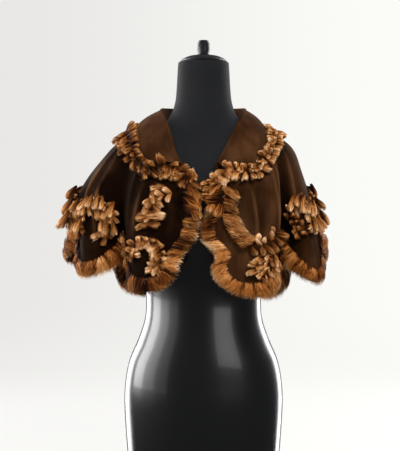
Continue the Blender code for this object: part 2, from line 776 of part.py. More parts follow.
def cloth_place(point):
    """The angle and the drop of the place on the cloth nearest a point."""
    best = None
    for drop in np.linspace(0, 1, 21):
        half_width, _, front, back = table_at(CLOTH_RINGS, drop)[:4]
        depth = back if point.y > 0 else front
        angle = math.degrees(math.atan2(point.x / half_width, -point.y / depth))
        gap = (cloth_point(angle, drop) - point).length
        if best is None or gap < best[0]:
            best = (gap, angle, drop)
    gap, angle, drop = best
    angle_step, drop_step = 2.0, 0.03
    while angle_step > 0.05:
        for move in ((angle_step, 0), (-angle_step, 0), (0, drop_step), (0, -drop_step)):
            tried = (angle + move[0], max(drop + move[1], 0.0))
            tried_gap = (cloth_point(*tried) - point).length
            if tried_gap < gap:
                gap, angle, drop = tried_gap, *tried
                break
        else:
            angle_step, drop_step = angle_step / 2, drop_step / 2
    return angle, drop


def on_side(angle, side):
    """The angle, turned by whole turns until it belongs to one side of the garment."""
    if angle * side > 200:
        return angle - side * 360
    return angle + side * 360 if angle * side < -90 else angle


def collar_fur(name, grid, starts, side):
    """The fur round one half of the collar, from the front of the neck to the centre back."""
    columns = grid if side < 0 else grid[::-1]
    half = columns[: len(columns) // 2 + 1]
    edge = [half[0][j] for j in range(5, len(half[0]) - 1)] + [column[-1] for column in half]
    places = [cloth_place(p) for p in edge]
    heights = [(p - cloth_point(*place)).length for p, place in zip(edge, places)]
    places = starts + places
    rise = SUEDE_WALL / 2 + COLLAR_FUR_GAP + COLLAR_FUR_HEIGHT * COLLAR_FUR_SEAT
    heights = [rise] * len(starts) + heights
    points = [cloth_point(*place) for place in places]
    lengths = np.cumsum([0.0] + [(b - a).length for a, b in zip(points, points[1:])])
    rings = int(lengths[-1] / FUR_RING_STEP)
    places = [(on_side(angle, side), drop) for angle, drop in places]
    at = np.linspace(0, lengths[-1] - COLLAR_FUR_END, rings)
    angles = np.interp(at, lengths, [a for a, d in places])
    drops = np.interp(at, lengths, [d for a, d in places])
    overs = np.interp(at, lengths, heights)
    kernel = np.array([1, 2, 3, 2, 1]) / 9
    drops[2:-2] = np.convolve(drops, kernel, "valid")
    angles[2:-2] = np.convolve(angles, kernel, "valid")
    stations, bases = [], []
    for k in range(rings):
        before, after = max(k - 1, 0), min(k + 1, rings - 1)
        here = cloth_point(angles[k], drops[k])
        ahead = cloth_point(angles[after], drops[after]) - cloth_point(angles[before], drops[before])
        out = ahead.cross(cloth_normal(angles[k], drops[k])).normalized() * side
        angle, drop = cloth_place(here + out * COLLAR_FUR_WIDTH)
        if angle - angles[k] > 180:
            angle -= 360
        if angles[k] - angle > 180:
            angle += 360
        share = COLLAR_FUR_CLEAR / COLLAR_FUR_WIDTH
        near = (angles[k] + (angle - angles[k]) * share, drops[k] + (drop - drops[k]) * share)
        stations.append(HemStation(*near, angle, drop))
        bases.append((max(overs[k], rise), rise))
    fur_band(name, stations, COLLAR_FUR_HEIGHT, bases)


def closure():
    """The bar that fastens the front below the collar."""
    bpy.ops.mesh.primitive_cube_add(size=1, location=CLOSURE_MIDDLE)
    bar = bpy.context.object
    bar.scale = CLOSURE_SIZE
    bpy.ops.object.transform_apply(location=True, scale=True)
    made = new_object("closure", bar.data.copy(), BRAID)
    bpy.data.objects.remove(bar)
    soft = made.modifiers.new("soft", "BEVEL")
    soft.width = CLOSURE_ROUNDING
    soft.segments = 2


def solid_points(made):
    """A solid's points and the quarter points of its edges, in the garment's frame."""
    mesh = made.evaluated_get(bpy.context.evaluated_depsgraph_get()).to_mesh()
    points = [v.co.copy() for v in mesh.vertices]
    for edge in mesh.edges:
        a, b = (mesh.vertices[k].co for k in edge.vertices)
        points += [a.lerp(b, share) for share in (0.25, 0.5, 0.75)]
    return points


def solid_tree(names):
    """A search tree over the faces of the named solids."""
    points, faces = [], []
    for name in names:
        mesh = bpy.data.objects[name].evaluated_get(bpy.context.evaluated_depsgraph_get()).to_mesh()
        base = len(points)
        points += [tuple(v.co) for v in mesh.vertices]
        faces += [tuple(base + k for k in face.vertices) for face in mesh.polygons]
    return BVHTree.FromPolygons(points, faces)


def moved(made, step):
    for vertex in made.data.vertices:
        vertex.co += step


def seated(name, carriers, upright=False):
    """Brings a piece up to what carries it, without turning it, until only the seat gap is left."""
    tree = solid_tree(carriers)
    made = bpy.data.objects[name]
    for _ in range(SEATING_ROUNDS):
        bpy.context.view_layer.update()
        near = [(tree.find_nearest(p), p) for p in solid_points(made)]
        (place, _, _, gap), point = min(near, key=lambda found: found[0][3])
        if gap - SEAT_GAP < SEATED_WITHIN:
            return
        step = (place - point).normalized() * (gap - SEAT_GAP)
        moved(made, Vector((0, 0, step.z)) if upright else step)


def settled_on_form(names):
    """Lowers the whole garment onto the dress form until only the seat gap is left."""
    tree = solid_tree(["form_neck", "form_torso"])
    points = [p for name in names for p in solid_points(bpy.data.objects[name])]
    low, high = 0.0, MOST_SETTLING
    for _ in range(SETTLING_HALVINGS):
        fall = (low + high) / 2
        nearest = min(tree.find_nearest(p - Vector((0, 0, fall)))[3] for p in points)
        inside = nearest < SEAT_GAP * SETTLED_CLEAR
        low, high = (low, fall) if inside else (fall, high)
    return low


GARMENT = bpy.data.collections.new("capelet_on_form")


def main():
    for old in list(bpy.data.objects):
        bpy.data.objects.remove(old)
    bpy.context.scene.collection.children.link(GARMENT)

    form_body("form_torso", TORSO_SECTIONS, GLOSS_BLACK, TORSO_STEPS)
    form_body("form_neck", NECK_SECTIONS, BLACK_JERSEY, NECK_STEPS)
    turned("neck_cap", CAP_PROFILE, SATIN_BLACK)
    turned("neck_knob", KNOB_PROFILE, SATIN_BLACK)

    hem = hem_stations()
    low, high = SIDE_SEAMS
    spans = {
        "right": (between(hem, hem[0].angle, low), 1, [(-1, -1)]),
        "back": (between(hem, low, high), 0, [(0, 1), (-1, -1)]),
        "left": (between(hem, high, hem[-1].angle), -1, [(0, 1)]),
    }
    sheets = []
    for name, (stations, side, ends) in spans.items():
        grid = seam_inset(panel_grid(stations, side), ends)
        panel("back" if name == "back" else "front_" + name, grid)
        sheets.append([[cloth_point(a, d) for a, d in column] for column in grid])
    cloth = sheet_tree(sheets)
    collar_sheet = collar(cloth)

    for name, (stations, side, ends) in spans.items():
        shifted = [
            HemStation(
                s.angle + front_shift(side, s.angle, s.drop), s.drop,
                s.fur_angle + front_shift(side, s.angle, s.drop), s.fur_drop,
            )
            for s in stations
        ]
        for end, sense in ends:
            inset = sense * SEAM_FUR_INSET
            shifted[end] = shifted[end]._replace(
                angle=shifted[end].angle + inset, fur_angle=shifted[end].fur_angle + inset
            )
        if side:
            top = shifted[0].drop if side > 0 else shifted[-1].drop
            split = FRONT_FUR_SPLIT + FRONT_FUR_BREAK
            edge = front_stations(side, split, top - LOW_FRONT_CLEAR, LOW_FRONT_RINGS)
            shifted = edge + shifted if side > 0 else shifted + edge[::-1]
            front = front_stations(side, FRONT_FUR_TOP, FRONT_FUR_SPLIT, FRONT_FUR_RINGS)
            fur_band("front_fur_" + name, front)
        fur_band("hem_fur_" + name, shifted)
    for name, strip in LOOP_STRIPS.items():
        loop_strip(name, strip.width, strip.route, cloth)
    for tab in TABS:
        if tab.name in ARCHED:
            arch = ARCHED[tab.name]
            loop_strip("loops_" + tab.name, arch.width, arch_route(tab, arch), cloth)
    closure()
    collar_fur("collar_fur_left", collar_sheet, COLLAR_FUR_STARTS["left"], -1)
    collar_fur("collar_fur_right", collar_sheet, COLLAR_FUR_STARTS["right"], 1)

    panels = ["front_left", "front_right", "back"]
    names = [made.name for made in GARMENT.objects]
    seated("neck_cap", ["form_neck"], upright=True)
    seated("neck_knob", ["neck_cap"], upright=True)
    for name in names:
        if name.startswith(("loops", "hem_fur", "front_fur")):
            seated(name, panels)
        if name.startswith("collar_fur"):
            seated(name, panels + ["collar"])
    seated("closure", panels + ["collar_fur_left", "collar_fur_right"])
    worn = [name for name in names if not name.startswith(("form", "neck"))]
    fall = settled_on_form(panels + ["collar"])
    for name in worn:
        moved(bpy.data.objects[name], Vector((0, 0, -fall)))


main()
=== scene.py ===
"""Looks of the fur-trimmed capelet on its dress form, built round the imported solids.

The frame is the CAD part's: metres, +Z up, the garment's front faces -Y. The drape is read by an
angle round the body (0 at the centre front, positive to the viewer's right) and a drop (0 at the
neck seam, 1 at the lowest points of the suede's hem).
"""

import logging
import math
from collections.abc import Sequence
from dataclasses import dataclass, field
from enum import Enum
from typing import NamedTuple

import bpy
import numpy as np
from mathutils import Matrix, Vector
from mathutils.bvhtree import BVHTree


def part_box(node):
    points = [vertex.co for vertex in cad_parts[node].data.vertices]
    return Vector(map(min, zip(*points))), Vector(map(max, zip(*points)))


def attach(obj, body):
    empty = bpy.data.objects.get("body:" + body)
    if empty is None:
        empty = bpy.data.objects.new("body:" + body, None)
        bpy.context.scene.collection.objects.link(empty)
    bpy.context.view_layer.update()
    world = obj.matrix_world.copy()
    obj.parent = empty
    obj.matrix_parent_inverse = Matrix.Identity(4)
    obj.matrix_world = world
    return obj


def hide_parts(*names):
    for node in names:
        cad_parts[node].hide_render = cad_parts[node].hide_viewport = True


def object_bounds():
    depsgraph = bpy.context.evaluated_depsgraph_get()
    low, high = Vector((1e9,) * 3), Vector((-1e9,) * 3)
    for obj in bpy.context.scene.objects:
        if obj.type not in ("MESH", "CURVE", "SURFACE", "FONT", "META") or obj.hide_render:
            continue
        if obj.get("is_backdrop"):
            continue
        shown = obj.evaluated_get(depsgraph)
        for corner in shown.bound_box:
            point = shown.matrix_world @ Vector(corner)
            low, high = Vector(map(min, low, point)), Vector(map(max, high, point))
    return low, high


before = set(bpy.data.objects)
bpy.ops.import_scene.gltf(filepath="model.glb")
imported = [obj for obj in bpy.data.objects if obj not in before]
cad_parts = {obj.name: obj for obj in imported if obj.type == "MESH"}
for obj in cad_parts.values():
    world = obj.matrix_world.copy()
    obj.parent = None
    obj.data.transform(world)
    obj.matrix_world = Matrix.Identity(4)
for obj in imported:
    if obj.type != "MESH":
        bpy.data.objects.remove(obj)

LOG = logging.getLogger("capelet")
SEED = 20261127

# How far the garment settles onto the form, and its wall, ripple, creases and gaps
SETTLED = 0.0023
SUEDE_WALL = 0.0019
RIPPLE = 0.0007
DEEPEST_CREASE = 0.005
SEAM_GAP = 0.0004
COLLAR_LIFT = 0.0045
COLLAR_FOOT_RISE = 0.0030
FUR_SEAM = 0.0005

# Painted light on the suede of each panel, about 0; below 0 it is painted shade, darkest on the left front,
# which is turned from the lamps
PANEL_PAINTED_LIGHT = {"front_left": -1.5, "front_right": 0.5, "back": 0.2}


class FormSection(NamedTuple):
    """A level section of the form, with its depths in front of and behind its middle."""

    height: float
    half_width: float
    front: float
    back: float


TORSO_SECTIONS = [
    FormSection(0.000, 0.156, 0.100, 0.108),
    FormSection(0.070, 0.162, 0.106, 0.118),
    FormSection(0.139, 0.166, 0.108, 0.124),
    FormSection(0.187, 0.164, 0.106, 0.121),
    FormSection(0.233, 0.155, 0.103, 0.110),
    FormSection(0.276, 0.137, 0.097, 0.094),
    FormSection(0.317, 0.1235, 0.090, 0.081),
    FormSection(0.355, 0.1205, 0.087, 0.076),
    FormSection(0.400, 0.124, 0.092, 0.079),
    FormSection(0.450, 0.131, 0.106, 0.085),
    FormSection(0.510, 0.141, 0.124, 0.092),
    FormSection(0.550, 0.146, 0.118, 0.096),
    FormSection(0.575, 0.149, 0.110, 0.098),
]
NECK_SECTIONS = [
    FormSection(0.5753, 0.149, 0.110, 0.098),
    FormSection(0.610, 0.156, 0.094, 0.099),
    FormSection(0.640, 0.168, 0.079, 0.096),
    FormSection(0.662, 0.173, 0.068, 0.090),
    FormSection(0.680, 0.163, 0.061, 0.084),
    FormSection(0.695, 0.141, 0.057, 0.080),
    FormSection(0.708, 0.113, 0.055, 0.076),
    FormSection(0.724, 0.086, 0.054, 0.070),
    FormSection(0.744, 0.0695, 0.053, 0.063),
    FormSection(0.770, 0.0600, 0.052, 0.057),
    FormSection(0.800, 0.0565, 0.051, 0.053),
    FormSection(0.850, 0.0535, 0.051, 0.051),
    FormSection(0.855, 0.0505, 0.049, 0.049),
    FormSection(0.860, 0.0400, 0.039, 0.039),
    FormSection(0.864, 0.0200, 0.020, 0.020),
]

# Cap plate and knob, as (radius, height) above their own lowest point
CAP_PROFILE = [
    (0.0000, 0.0145), (0.0120, 0.0140), (0.0300, 0.0115), (0.0430, 0.0060), (0.0485, 0.0015),
    (0.0480, 0.0000), (0.0420, 0.0050), (0.0300, 0.0082), (0.0000, 0.0092),
]
KNOB_PROFILE = [
    (0.0000, 0.0305), (0.0080, 0.0302), (0.0112, 0.0280), (0.0130, 0.0230), (0.0136, 0.0150),
    (0.0132, 0.0080), (0.0118, 0.0025), (0.0116, 0.0000), (0.0000, 0.0000),
]


class ClothRing(NamedTuple):
    """The cloth's run round the body at a drop: half width, shift of its sides, depths and heights."""

    drop: float
    half_width: float
    side_shift: float
    front: float
    back: float
    z_front: float
    z_side: float
    z_back: float


CLOTH_RINGS = [
    ClothRing(0.00, 0.0815, 0.000, 0.1040, 0.080, 0.600, 0.7350, 0.744),
    ClothRing(0.14, 0.1120, 0.000, 0.1190, 0.102, 0.584, 0.7200, 0.716),
    ClothRing(0.30, 0.1640, -0.001, 0.1320, 0.121, 0.560, 0.6970, 0.672),
    ClothRing(0.42, 0.1960, -0.004, 0.1400, 0.133, 0.535, 0.6670, 0.628),
    ClothRing(0.60, 0.2360, -0.015, 0.1490, 0.150, 0.490, 0.5980, 0.548),
    ClothRing(0.80, 0.2590, -0.012, 0.1570, 0.166, 0.440, 0.5180, 0.452),
    ClothRing(1.00, 0.2680, -0.008, 0.1630, 0.180, 0.392, 0.4400, 0.358),
    ClothRing(1.20, 0.2760, -0.006, 0.1680, 0.190, 0.344, 0.3700, 0.268),
]


class Fold(NamedTuple):
    """A trough, or a ridge where its depth is negative, that grows down the cloth."""

    angle: float
    start_angle: float
    depth: float
    half_angle: float
    starts: float


FOLDS = [
    Fold(-165, -172, 0.030, 8.0, 0.40),
    Fold(-126, -130, 0.046, 9.0, 0.38),
    Fold(-100, -96, -0.014, 20.0, 0.30),
    Fold(-80, -86, 0.036, 8.0, 0.40),
    Fold(-41, -62, 0.064, 7.0, 0.24),
    Fold(-58, -76, -0.012, 6.5, 0.30),
    Fold(-28, -40, -0.006, 8.0, 0.25),
    Fold(26, 38, -0.006, 8.0, 0.25),
    Fold(43, 66, 0.062, 6.8, 0.26),
    Fold(82, 90, 0.034, 8.5, 0.40),
    Fold(124, 130, 0.044, 9.0, 0.38),
    Fold(163, 170, 0.032, 8.0, 0.40),
]


class Crease(NamedTuple):
    """A soft narrow ridge, or a trough where its depth is positive, between two drops."""

    top_angle: float
    bottom_angle: float
    depth: float
    half_angle: float
    starts: float
    ends: float


CREASES = [
    Crease(33, 24, -0.0036, 1.3, 0.30, 0.80),
    Crease(60, 35, -0.0046, 1.4, 0.24, 0.80),
    Crease(45, 29, 0.0030, 1.5, 0.32, 0.74),
    Crease(52, 40, -0.0034, 1.2, 0.28, 0.70),
    Crease(70, 52, -0.0046, 1.7, 0.28, 0.82),
    Crease(-76, -64, -0.0046, 1.7, 0.34, 0.76),
    Crease(-68, -52, -0.0050, 1.7, 0.36, 0.88),
    Crease(-42, -32, -0.0036, 1.6, 0.30, 0.70),
    Crease(-52, -36, -0.0032, 1.4, 0.28, 0.66),
    Crease(-27, -24, 0.0022, 1.8, 0.30, 0.72),
    Crease(104, 108, -0.0040, 2.0, 0.34, 0.90),
    Crease(-110, -112, -0.0040, 2.0, 0.34, 0.90),
    Crease(140, 146, -0.0038, 2.2, 0.30, 0.92),
    Crease(-142, -147, -0.0038, 2.2, 0.30, 0.92),
    Crease(178, 180, -0.0036, 2.4, 0.25, 0.90),
]


class Tab(NamedTuple):
    """A scalloped tab: the angles of its two notches, and drops of its notches and its bottom."""

    name: str
    start: float
    end: float
    first_notch: float
    bottom: float
    last_notch: float


TABS = [
    Tab("front_1_right", 10.0, 43.0, 0.84, 1.00, 0.74),
    Tab("front_2_right", 43.0, 82.0, 0.74, 1.01, 0.74),
    Tab("side_right", 82.0, 124.0, 0.74, 0.93, 0.74),
    Tab("back_1_right", 124.0, 163.0, 0.74, 1.00, 0.77),
    Tab("back_centre", 163.0, 195.0, 0.77, 0.98, 0.77),
    Tab("back_1_left", 195.0, 234.0, 0.77, 0.98, 0.75),
    Tab("side_left", 234.0, 280.0, 0.75, 0.93, 0.74),
    Tab("front_2_left", 280.0, 319.0, 0.74, 0.96, 0.74),
    Tab("front_1_left", 319.0, 343.0, 0.74, 0.97, 0.82),
]
TAB_STEPS = 10
NOTCH_RISE = 0.034
NOTCH_EASE = 0.014
NOTCH_SPREAD = 0.5
NOTCH_FUR_CLEAR = 0.003
SIDE_SEAMS = (102.0, 258.0)


class FrontEdge(NamedTuple):
    """The angles of the suede's front edges at a drop."""

    drop: float
    left: float
    right: float


FRONT_EDGES = [
    FrontEdge(0.00, -7.0, 7.0),
    FrontEdge(0.12, -12.0, 10.5),
    FrontEdge(0.22, -14.5, 13.8),
    FrontEdge(0.32, -12.2, 11.4),
    FrontEdge(0.42, -10.0, 9.7),
    FrontEdge(0.50, -10.4, 6.2),
    FrontEdge(0.60, -10.8, 5.6),
    FrontEdge(0.68, -13.5, 9.5),
    FrontEdge(0.75, -16.0, 11.8),
    FrontEdge(0.82, -17.2, 10.0),
    FrontEdge(1.20, -17.0, 10.0),
]
FRONT_FUR_TOP = 0.19
FRONT_FUR_SPLIT = 0.704
EDGE_CLEAR = 0.015
ROW_CLOSING = 0.93


class CollarStation(NamedTuple):
    """A place round the collar: a point where it starts to roll and one of its outer edge."""

    roll_x: float
    roll_y: float
    roll_z: float
    edge_x: float
    edge_y: float
    edge_z: float


COLLAR_STATIONS = [
    CollarStation(-0.0500, -0.1010, 0.6430, -0.1120, -0.0960, 0.6330),
    CollarStation(-0.0580, -0.0840, 0.6680, -0.1290, -0.0760, 0.6600),
    CollarStation(-0.0660, -0.0630, 0.7020, -0.1420, -0.0500, 0.6880),
    CollarStation(-0.0780, -0.0380, 0.7360, -0.1490, -0.0200, 0.7080),
    CollarStation(-0.0850, 0.0000, 0.7560, -0.1480, 0.0250, 0.7170),
    CollarStation(-0.0760, 0.0420, 0.7610, -0.1300, 0.0760, 0.7120),
    CollarStation(-0.0440, 0.0720, 0.7620, -0.0770, 0.1220, 0.6980),
    CollarStation(0.0000, 0.0830, 0.7620, 0.0000, 0.1400, 0.6930),
    CollarStation(0.0440, 0.0720, 0.7620, 0.0740, 0.1220, 0.6980),
    CollarStation(0.0760, 0.0420, 0.7610, 0.1200, 0.0760, 0.7120),
    CollarStation(0.0840, 0.0000, 0.7560, 0.1320, 0.0250, 0.7180),
    CollarStation(0.0750, -0.0400, 0.7360, 0.1310, -0.0200, 0.7090),
    CollarStation(0.0570, -0.0660, 0.7000, 0.1260, -0.0520, 0.6850),
    CollarStation(0.0400, -0.0870, 0.6670, 0.1160, -0.0780, 0.6570),
    CollarStation(0.0250, -0.1060, 0.6390, 0.0960, -0.0990, 0.6300),
]
COLLAR_STEPS = 141
ROLL_RADIUS = 0.0035
ROLL_STEPS = 6
COLLAR_CROWN = 0.006

BAND_WIDTH = 0.031
BAND_HEIGHT = 0.012
LOOP_HEIGHT = 0.014
COLLAR_FUR_WIDTH = 0.034


class Strip(NamedTuple):
    """A looped strip over the suede, with the (angle, drop) places that its middle passes over."""

    width: float
    route: list[tuple[float, float]]


STRIPS = {
    "loops_front_left": Strip(0.036, [
        (-25, 0.31), (-29, 0.38), (-29.5, 0.46), (-28, 0.54), (-27.5, 0.62),
    ]),
    "loops_front_right": Strip(0.034, [
        (20.5, 0.24), (17.2, 0.33), (15.9, 0.44), (17, 0.57), (21, 0.67),
        (26.5, 0.735), (32, 0.74), (37, 0.70),
    ]),
    "loops_1_left": Strip(0.024, [
        (-31, 0.83), (-31, 0.765), (-28.5, 0.715), (-24, 0.705), (-20.8, 0.75), (-20.3, 0.83), (-21.3, 0.90),
    ]),
    "loops_1_right": Strip(0.050, [(28.5, 0.81), (28, 0.86), (26.5, 0.91), (24.5, 0.95)]),
}


class Arch(NamedTuple):
    """A looped arch over a tab: its width and the degrees by which its legs stand further in."""

    width: float
    first: float
    last: float


ARCH_RISE = 0.105
ARCH_FALL = 0.06
ARCH_EDGE = 0.003
ARCHED = {
    "front_2_left": Arch(0.034, 0.0, 2.0),
    "side_left": Arch(0.032, 0.0, 0.0),
    "back_1_left": Arch(0.032, 0.0, 0.0),
    "back_centre": Arch(0.026, 0.0, 0.0),
    "back_1_right": Arch(0.030, 0.0, 0.0),
    "side_right": Arch(0.028, 0.0, 0.0),
    "front_2_right": Arch(0.031, 3.0, 0.0),
}


class Side(Enum):
    """A half of the garment, as the sign of its angles."""

    LEFT = -1
    BACK = 0
    RIGHT = 1


class Slot(Enum):
    """The record's material slots."""

    SUEDE = "suede"
    FUR = "fur"
    BRAID = "braid"
    GLOSS = "gloss_black"
    JERSEY = "jersey_black"
    SATIN = "satin_black"


# Curves and tables


def through(rows: Sequence[Sequence[float]], places: np.ndarray) -> np.ndarray:
    """Points on a smooth curve through rows.

    Args:
        rows: the curve's control rows, one point each.
        places: where to read it, from 0 at the first row to 1 at the last.

    Returns:
        One row for each place.
    """
    table = np.array(rows, float)
    last = len(table) - 1
    at = np.clip(places, 0, 1) * last
    k = np.minimum(at.astype(int), last - 1)
    f = (at - k)[:, None]
    p0, p1 = table[np.maximum(k - 1, 0)], table[k]
    p2, p3 = table[k + 1], table[np.minimum(k + 2, last)]
    return 0.5 * (
        2 * p1 + (p2 - p0) * f + (2 * p0 - 5 * p1 + 4 * p2 - p3) * f**2 + (3 * p1 - p0 - 3 * p2 + p3) * f**3
    )


def table_at(rows: Sequence[Sequence[float]], values: np.ndarray) -> np.ndarray:
    """The other columns of a table at values of its first one.

    Args:
        rows: the table, sorted by its first column.
        values: values of the first column.

    Returns:
        One row of the other columns for each value.
    """
    keys = np.array([row[0] for row in rows], float)
    values = np.clip(np.asarray(values, float), keys[0], keys[-1])
    k = np.clip(np.searchsorted(keys, values, side="right") - 1, 0, len(keys) - 2)
    places = (k + (values - keys[k]) / (keys[k + 1] - keys[k])) / (len(keys) - 1)
    return through([row[1:] for row in rows], places)


def smooth_step(x: np.ndarray) -> np.ndarray:
    """A ramp from 0 to 1 that starts and ends level."""
    x = np.clip(x, 0.0, 1.0)
    return x * x * (3 - 2 * x)


def unit(vectors: np.ndarray) -> np.ndarray:
    """The vectors along the last axis, each with a length of 1."""
    return vectors / np.maximum(np.linalg.norm(vectors, axis=-1, keepdims=True), 1e-9)


def lengths_along(points: np.ndarray) -> np.ndarray:
    """The distance along a line of points to each of them."""
    return np.concatenate([[0.0], np.cumsum(np.linalg.norm(np.diff(points, axis=0), axis=1))])


def read_along(values: np.ndarray, lengths: np.ndarray, at: np.ndarray) -> np.ndarray:
    """A table's rows at distances along a line, from the lengths at which its own rows are."""
    return np.stack([np.interp(at, lengths, column) for column in values.T], axis=-1)


# The draped surface


@dataclass(frozen=True)
class Drape:
    """The draped surface that panels, collar and fur are read from.

    Attributes:
        creases: whether the small soft creases are in it, besides the folds.
    """

    creases: bool = True

    def points(self, angles: np.ndarray, drops: np.ndarray) -> np.ndarray:
        """The middle of the suede wall.

        Args:
            angles: degrees round the body.
            drops: drops from the neck seam.

        Returns:
            One point for each pair, in metres.
        """
        angles, drops = np.broadcast_arrays(np.asarray(angles, float), np.asarray(drops, float))
        shape = angles.shape
        angles, drops = angles.ravel(), drops.ravel()
        half, shift, front, back, z_front, z_side, z_back = table_at(CLOTH_RINGS, drops).T
        turn = np.radians(angles)
        facing = np.cos(turn)
        depth = np.where(facing > 0, front, back)
        z_end = np.where(facing > 0, z_front, z_back)
        x = half * np.sin(turn) + shift * np.sin(turn) ** 2
        y = -depth * facing
        z = z_side + (z_end - z_side) * facing**2
        inward = unit(np.stack([-x / half**2, -y / depth**2], axis=-1))
        push = self._folds(angles, drops)
        if self.creases:
            push += self._creases(angles, drops)
            push += RIPPLE * np.sin(np.radians(angles) * 9 + drops * 5) * smooth_step(drops * 3)
        found = np.stack([x + inward[:, 0] * push, y + inward[:, 1] * push, z - SETTLED], axis=-1)
        return found.reshape(*shape, 3)

    @staticmethod
    def _folds(angles: np.ndarray, drops: np.ndarray) -> np.ndarray:
        """How far the folds carry the cloth inward.

        Args:
            angles: degrees round the body.
            drops: drops from the neck seam.

        Returns:
            Metres for each pair, under 0 where it comes out.
        """
        push = np.zeros_like(angles)
        for fold in FOLDS:
            run = np.clip((drops - fold.starts) / (1 - fold.starts), 0.0, 1.0)
            centre = fold.angle + (fold.start_angle - fold.angle) * (1 - run) ** 1.5
            share = ((angles - centre + 180) % 360 - 180) / fold.half_angle
            push += fold.depth * smooth_step(run) ** 0.8 * np.exp(-share * share)
        return push

    @staticmethod
    def _creases(angles: np.ndarray, drops: np.ndarray) -> np.ndarray:
        """How far the small creases carry the cloth inward.

        Args:
            angles: degrees round the body.
            drops: drops from the neck seam.

        Returns:
            Metres for each pair, under 0 where it comes out.
        """
        push = np.zeros_like(angles)
        for crease in CREASES:
            run = (drops - crease.starts) / (crease.ends - crease.starts)
            centre = crease.top_angle + (crease.bottom_angle - crease.top_angle) * np.clip(run, 0, 1)
            share = ((angles - centre + 180) % 360 - 180) / crease.half_angle
            grown = np.sin(np.pi * np.clip(run, 0, 1)) ** 0.7
            push += crease.depth * grown * np.exp(-share * share)
        return push

    def wear_and_painted_shade(self, angles: np.ndarray, drops: np.ndarray) -> np.ndarray:
        """How pale the nap is from rubbing on ridges, with painted shade in the troughs of folds.

        Args:
            angles: degrees round the body.
            drops: drops from the neck seam.

        Returns:
            From -1 in the troughs of folds, which is painted shade, to 1 on the tops of creases.
        """
        ridges = -self._creases(angles, drops) / DEEPEST_CREASE
        folds = self._folds(angles, drops)
        paler = np.clip(ridges, 0, 1) ** 1.8 + np.clip(-folds / 0.012, 0, 1) * 0.22
        # Fold troughs get painted shade; ridges and crease tops are paler from rubbing
        return paler - np.clip(folds / 0.022, 0, 1)

    def normals(self, angles: np.ndarray, drops: np.ndarray) -> np.ndarray:
        """The outward normals of the draped surface.

        Args:
            angles: degrees round the body.
            drops: drops from the neck seam.

        Returns:
            One unit vector for each pair.
        """
        angles, drops = np.asarray(angles, float), np.asarray(drops, float)
        across = self.points(angles + 0.4, drops) - self.points(angles - 0.4, drops)
        low, high = np.maximum(drops - 0.006, 0.0), drops + 0.006
        down = self.points(angles, high) - self.points(angles, low)
        return unit(np.cross(down, across))


DRAPE = Drape()
PLAIN_DRAPE = Drape(creases=False)


def edge_angle(side: Side, drop: float) -> float:
    """The angle of a front edge at a drop, from 0 to 360."""
    left, right = table_at(FRONT_EDGES, np.array([drop]))[0]
    return float(left) + 360 if side is Side.LEFT else float(right)


def degrees_across(angle: float, drop: float, sense: int, width: float) -> float:
    """How many degrees round the body a width along the cloth takes up.

    Args:
        angle: where the width starts.
        drop: the drop along which it runs.
        sense: 1 to the viewer's right, -1 to the left.
        width: metres along the cloth.

    Returns:
        The degrees that it takes up.
    """
    steps = np.arange(0, 30, 0.25)
    walked = lengths_along(PLAIN_DRAPE.points(angle + sense * steps, np.full_like(steps, drop)))
    return float(steps[int(np.searchsorted(walked, width))])


class HemStation(NamedTuple):
    """A place along an edge: where the suede ends, and where its fur ends."""

    angle: float
    drop: float
    fur_angle: float
    fur_drop: float


def scallop(share: float) -> float:
    """The fall of a scallop at a share of its half width."""
    return max(0.0, 1 - abs(share) ** 2.3) ** 0.52


def drop_of(width: float, angle: float, drop: float) -> float:
    """How much drop a width down the cloth takes up."""
    pair = PLAIN_DRAPE.points(np.array([angle, angle]), np.array([drop, drop + 0.05]))
    return width * 0.05 / float(np.linalg.norm(pair[1] - pair[0]))


def tab_stations(tab: Tab) -> list[HemStation]:
    """Stations from one notch of a tab to the other: the suede's edge and its fur's edge.

    Args:
        tab: the tab.

    Returns:
        Its stations, by angle.
    """
    first, last = tab.start, tab.end
    at_front = (tab.start < 30, tab.end > 330)
    if not at_front[0]:
        first += degrees_across(first, tab.first_notch, 1, BAND_WIDTH)
    if not at_front[1]:
        last -= degrees_across(last, tab.last_notch, -1, BAND_WIDTH)
    middle = (tab.start + tab.end) / 2
    bottom = tab.bottom + drop_of(BAND_WIDTH, middle, tab.bottom)
    stations = []
    for k in range(TAB_STEPS + 1):
        share = math.sin(math.pi * (k / TAB_STEPS - 0.5))
        angle = (first + last) / 2 + (last - first) / 2 * share
        end = 0 if share < 0 else 1
        notch = tab.first_notch if end == 0 else tab.last_notch
        if at_front[end]:
            fur_notch = notch
            reach = degrees_across(angle, notch, -1 if end == 0 else 1, BAND_WIDTH)
            edge = tab.start - reach if end == 0 else tab.end + reach
        else:
            fur_notch = notch + NOTCH_RISE - NOTCH_FUR_CLEAR
            edge = tab.start + NOTCH_SPREAD if end == 0 else tab.end - NOTCH_SPREAD
        fall = scallop(share)
        drop = notch + (tab.bottom - notch) * fall
        fur_drop = fur_notch + (bottom - fur_notch) * fall
        stations.append(HemStation(angle, drop, middle + (edge - middle) * abs(share), fur_drop))
    return stations


def hem_stations() -> list[HemStation]:
    """The whole hem from the right front edge round the back to the left one.

    Returns:
        Its stations, by angle.
    """
    found: list[HemStation] = []
    for tab in TABS:
        found += tab_stations(tab)
        if tab is TABS[-1]:
            continue
        for across in (-0.5, 0.0, 0.5):
            side = 1 if across > 0 else -1
            reach = degrees_across(tab.end, tab.last_notch, side, BAND_WIDTH * abs(across)) if across else 0.0
            drop, fur_drop = tab.last_notch - NOTCH_EASE, tab.last_notch + NOTCH_RISE
            fur_angle = tab.end + NOTCH_SPREAD * across
            found.append(HemStation(tab.end + side * reach, drop, fur_angle, fur_drop))
    return found


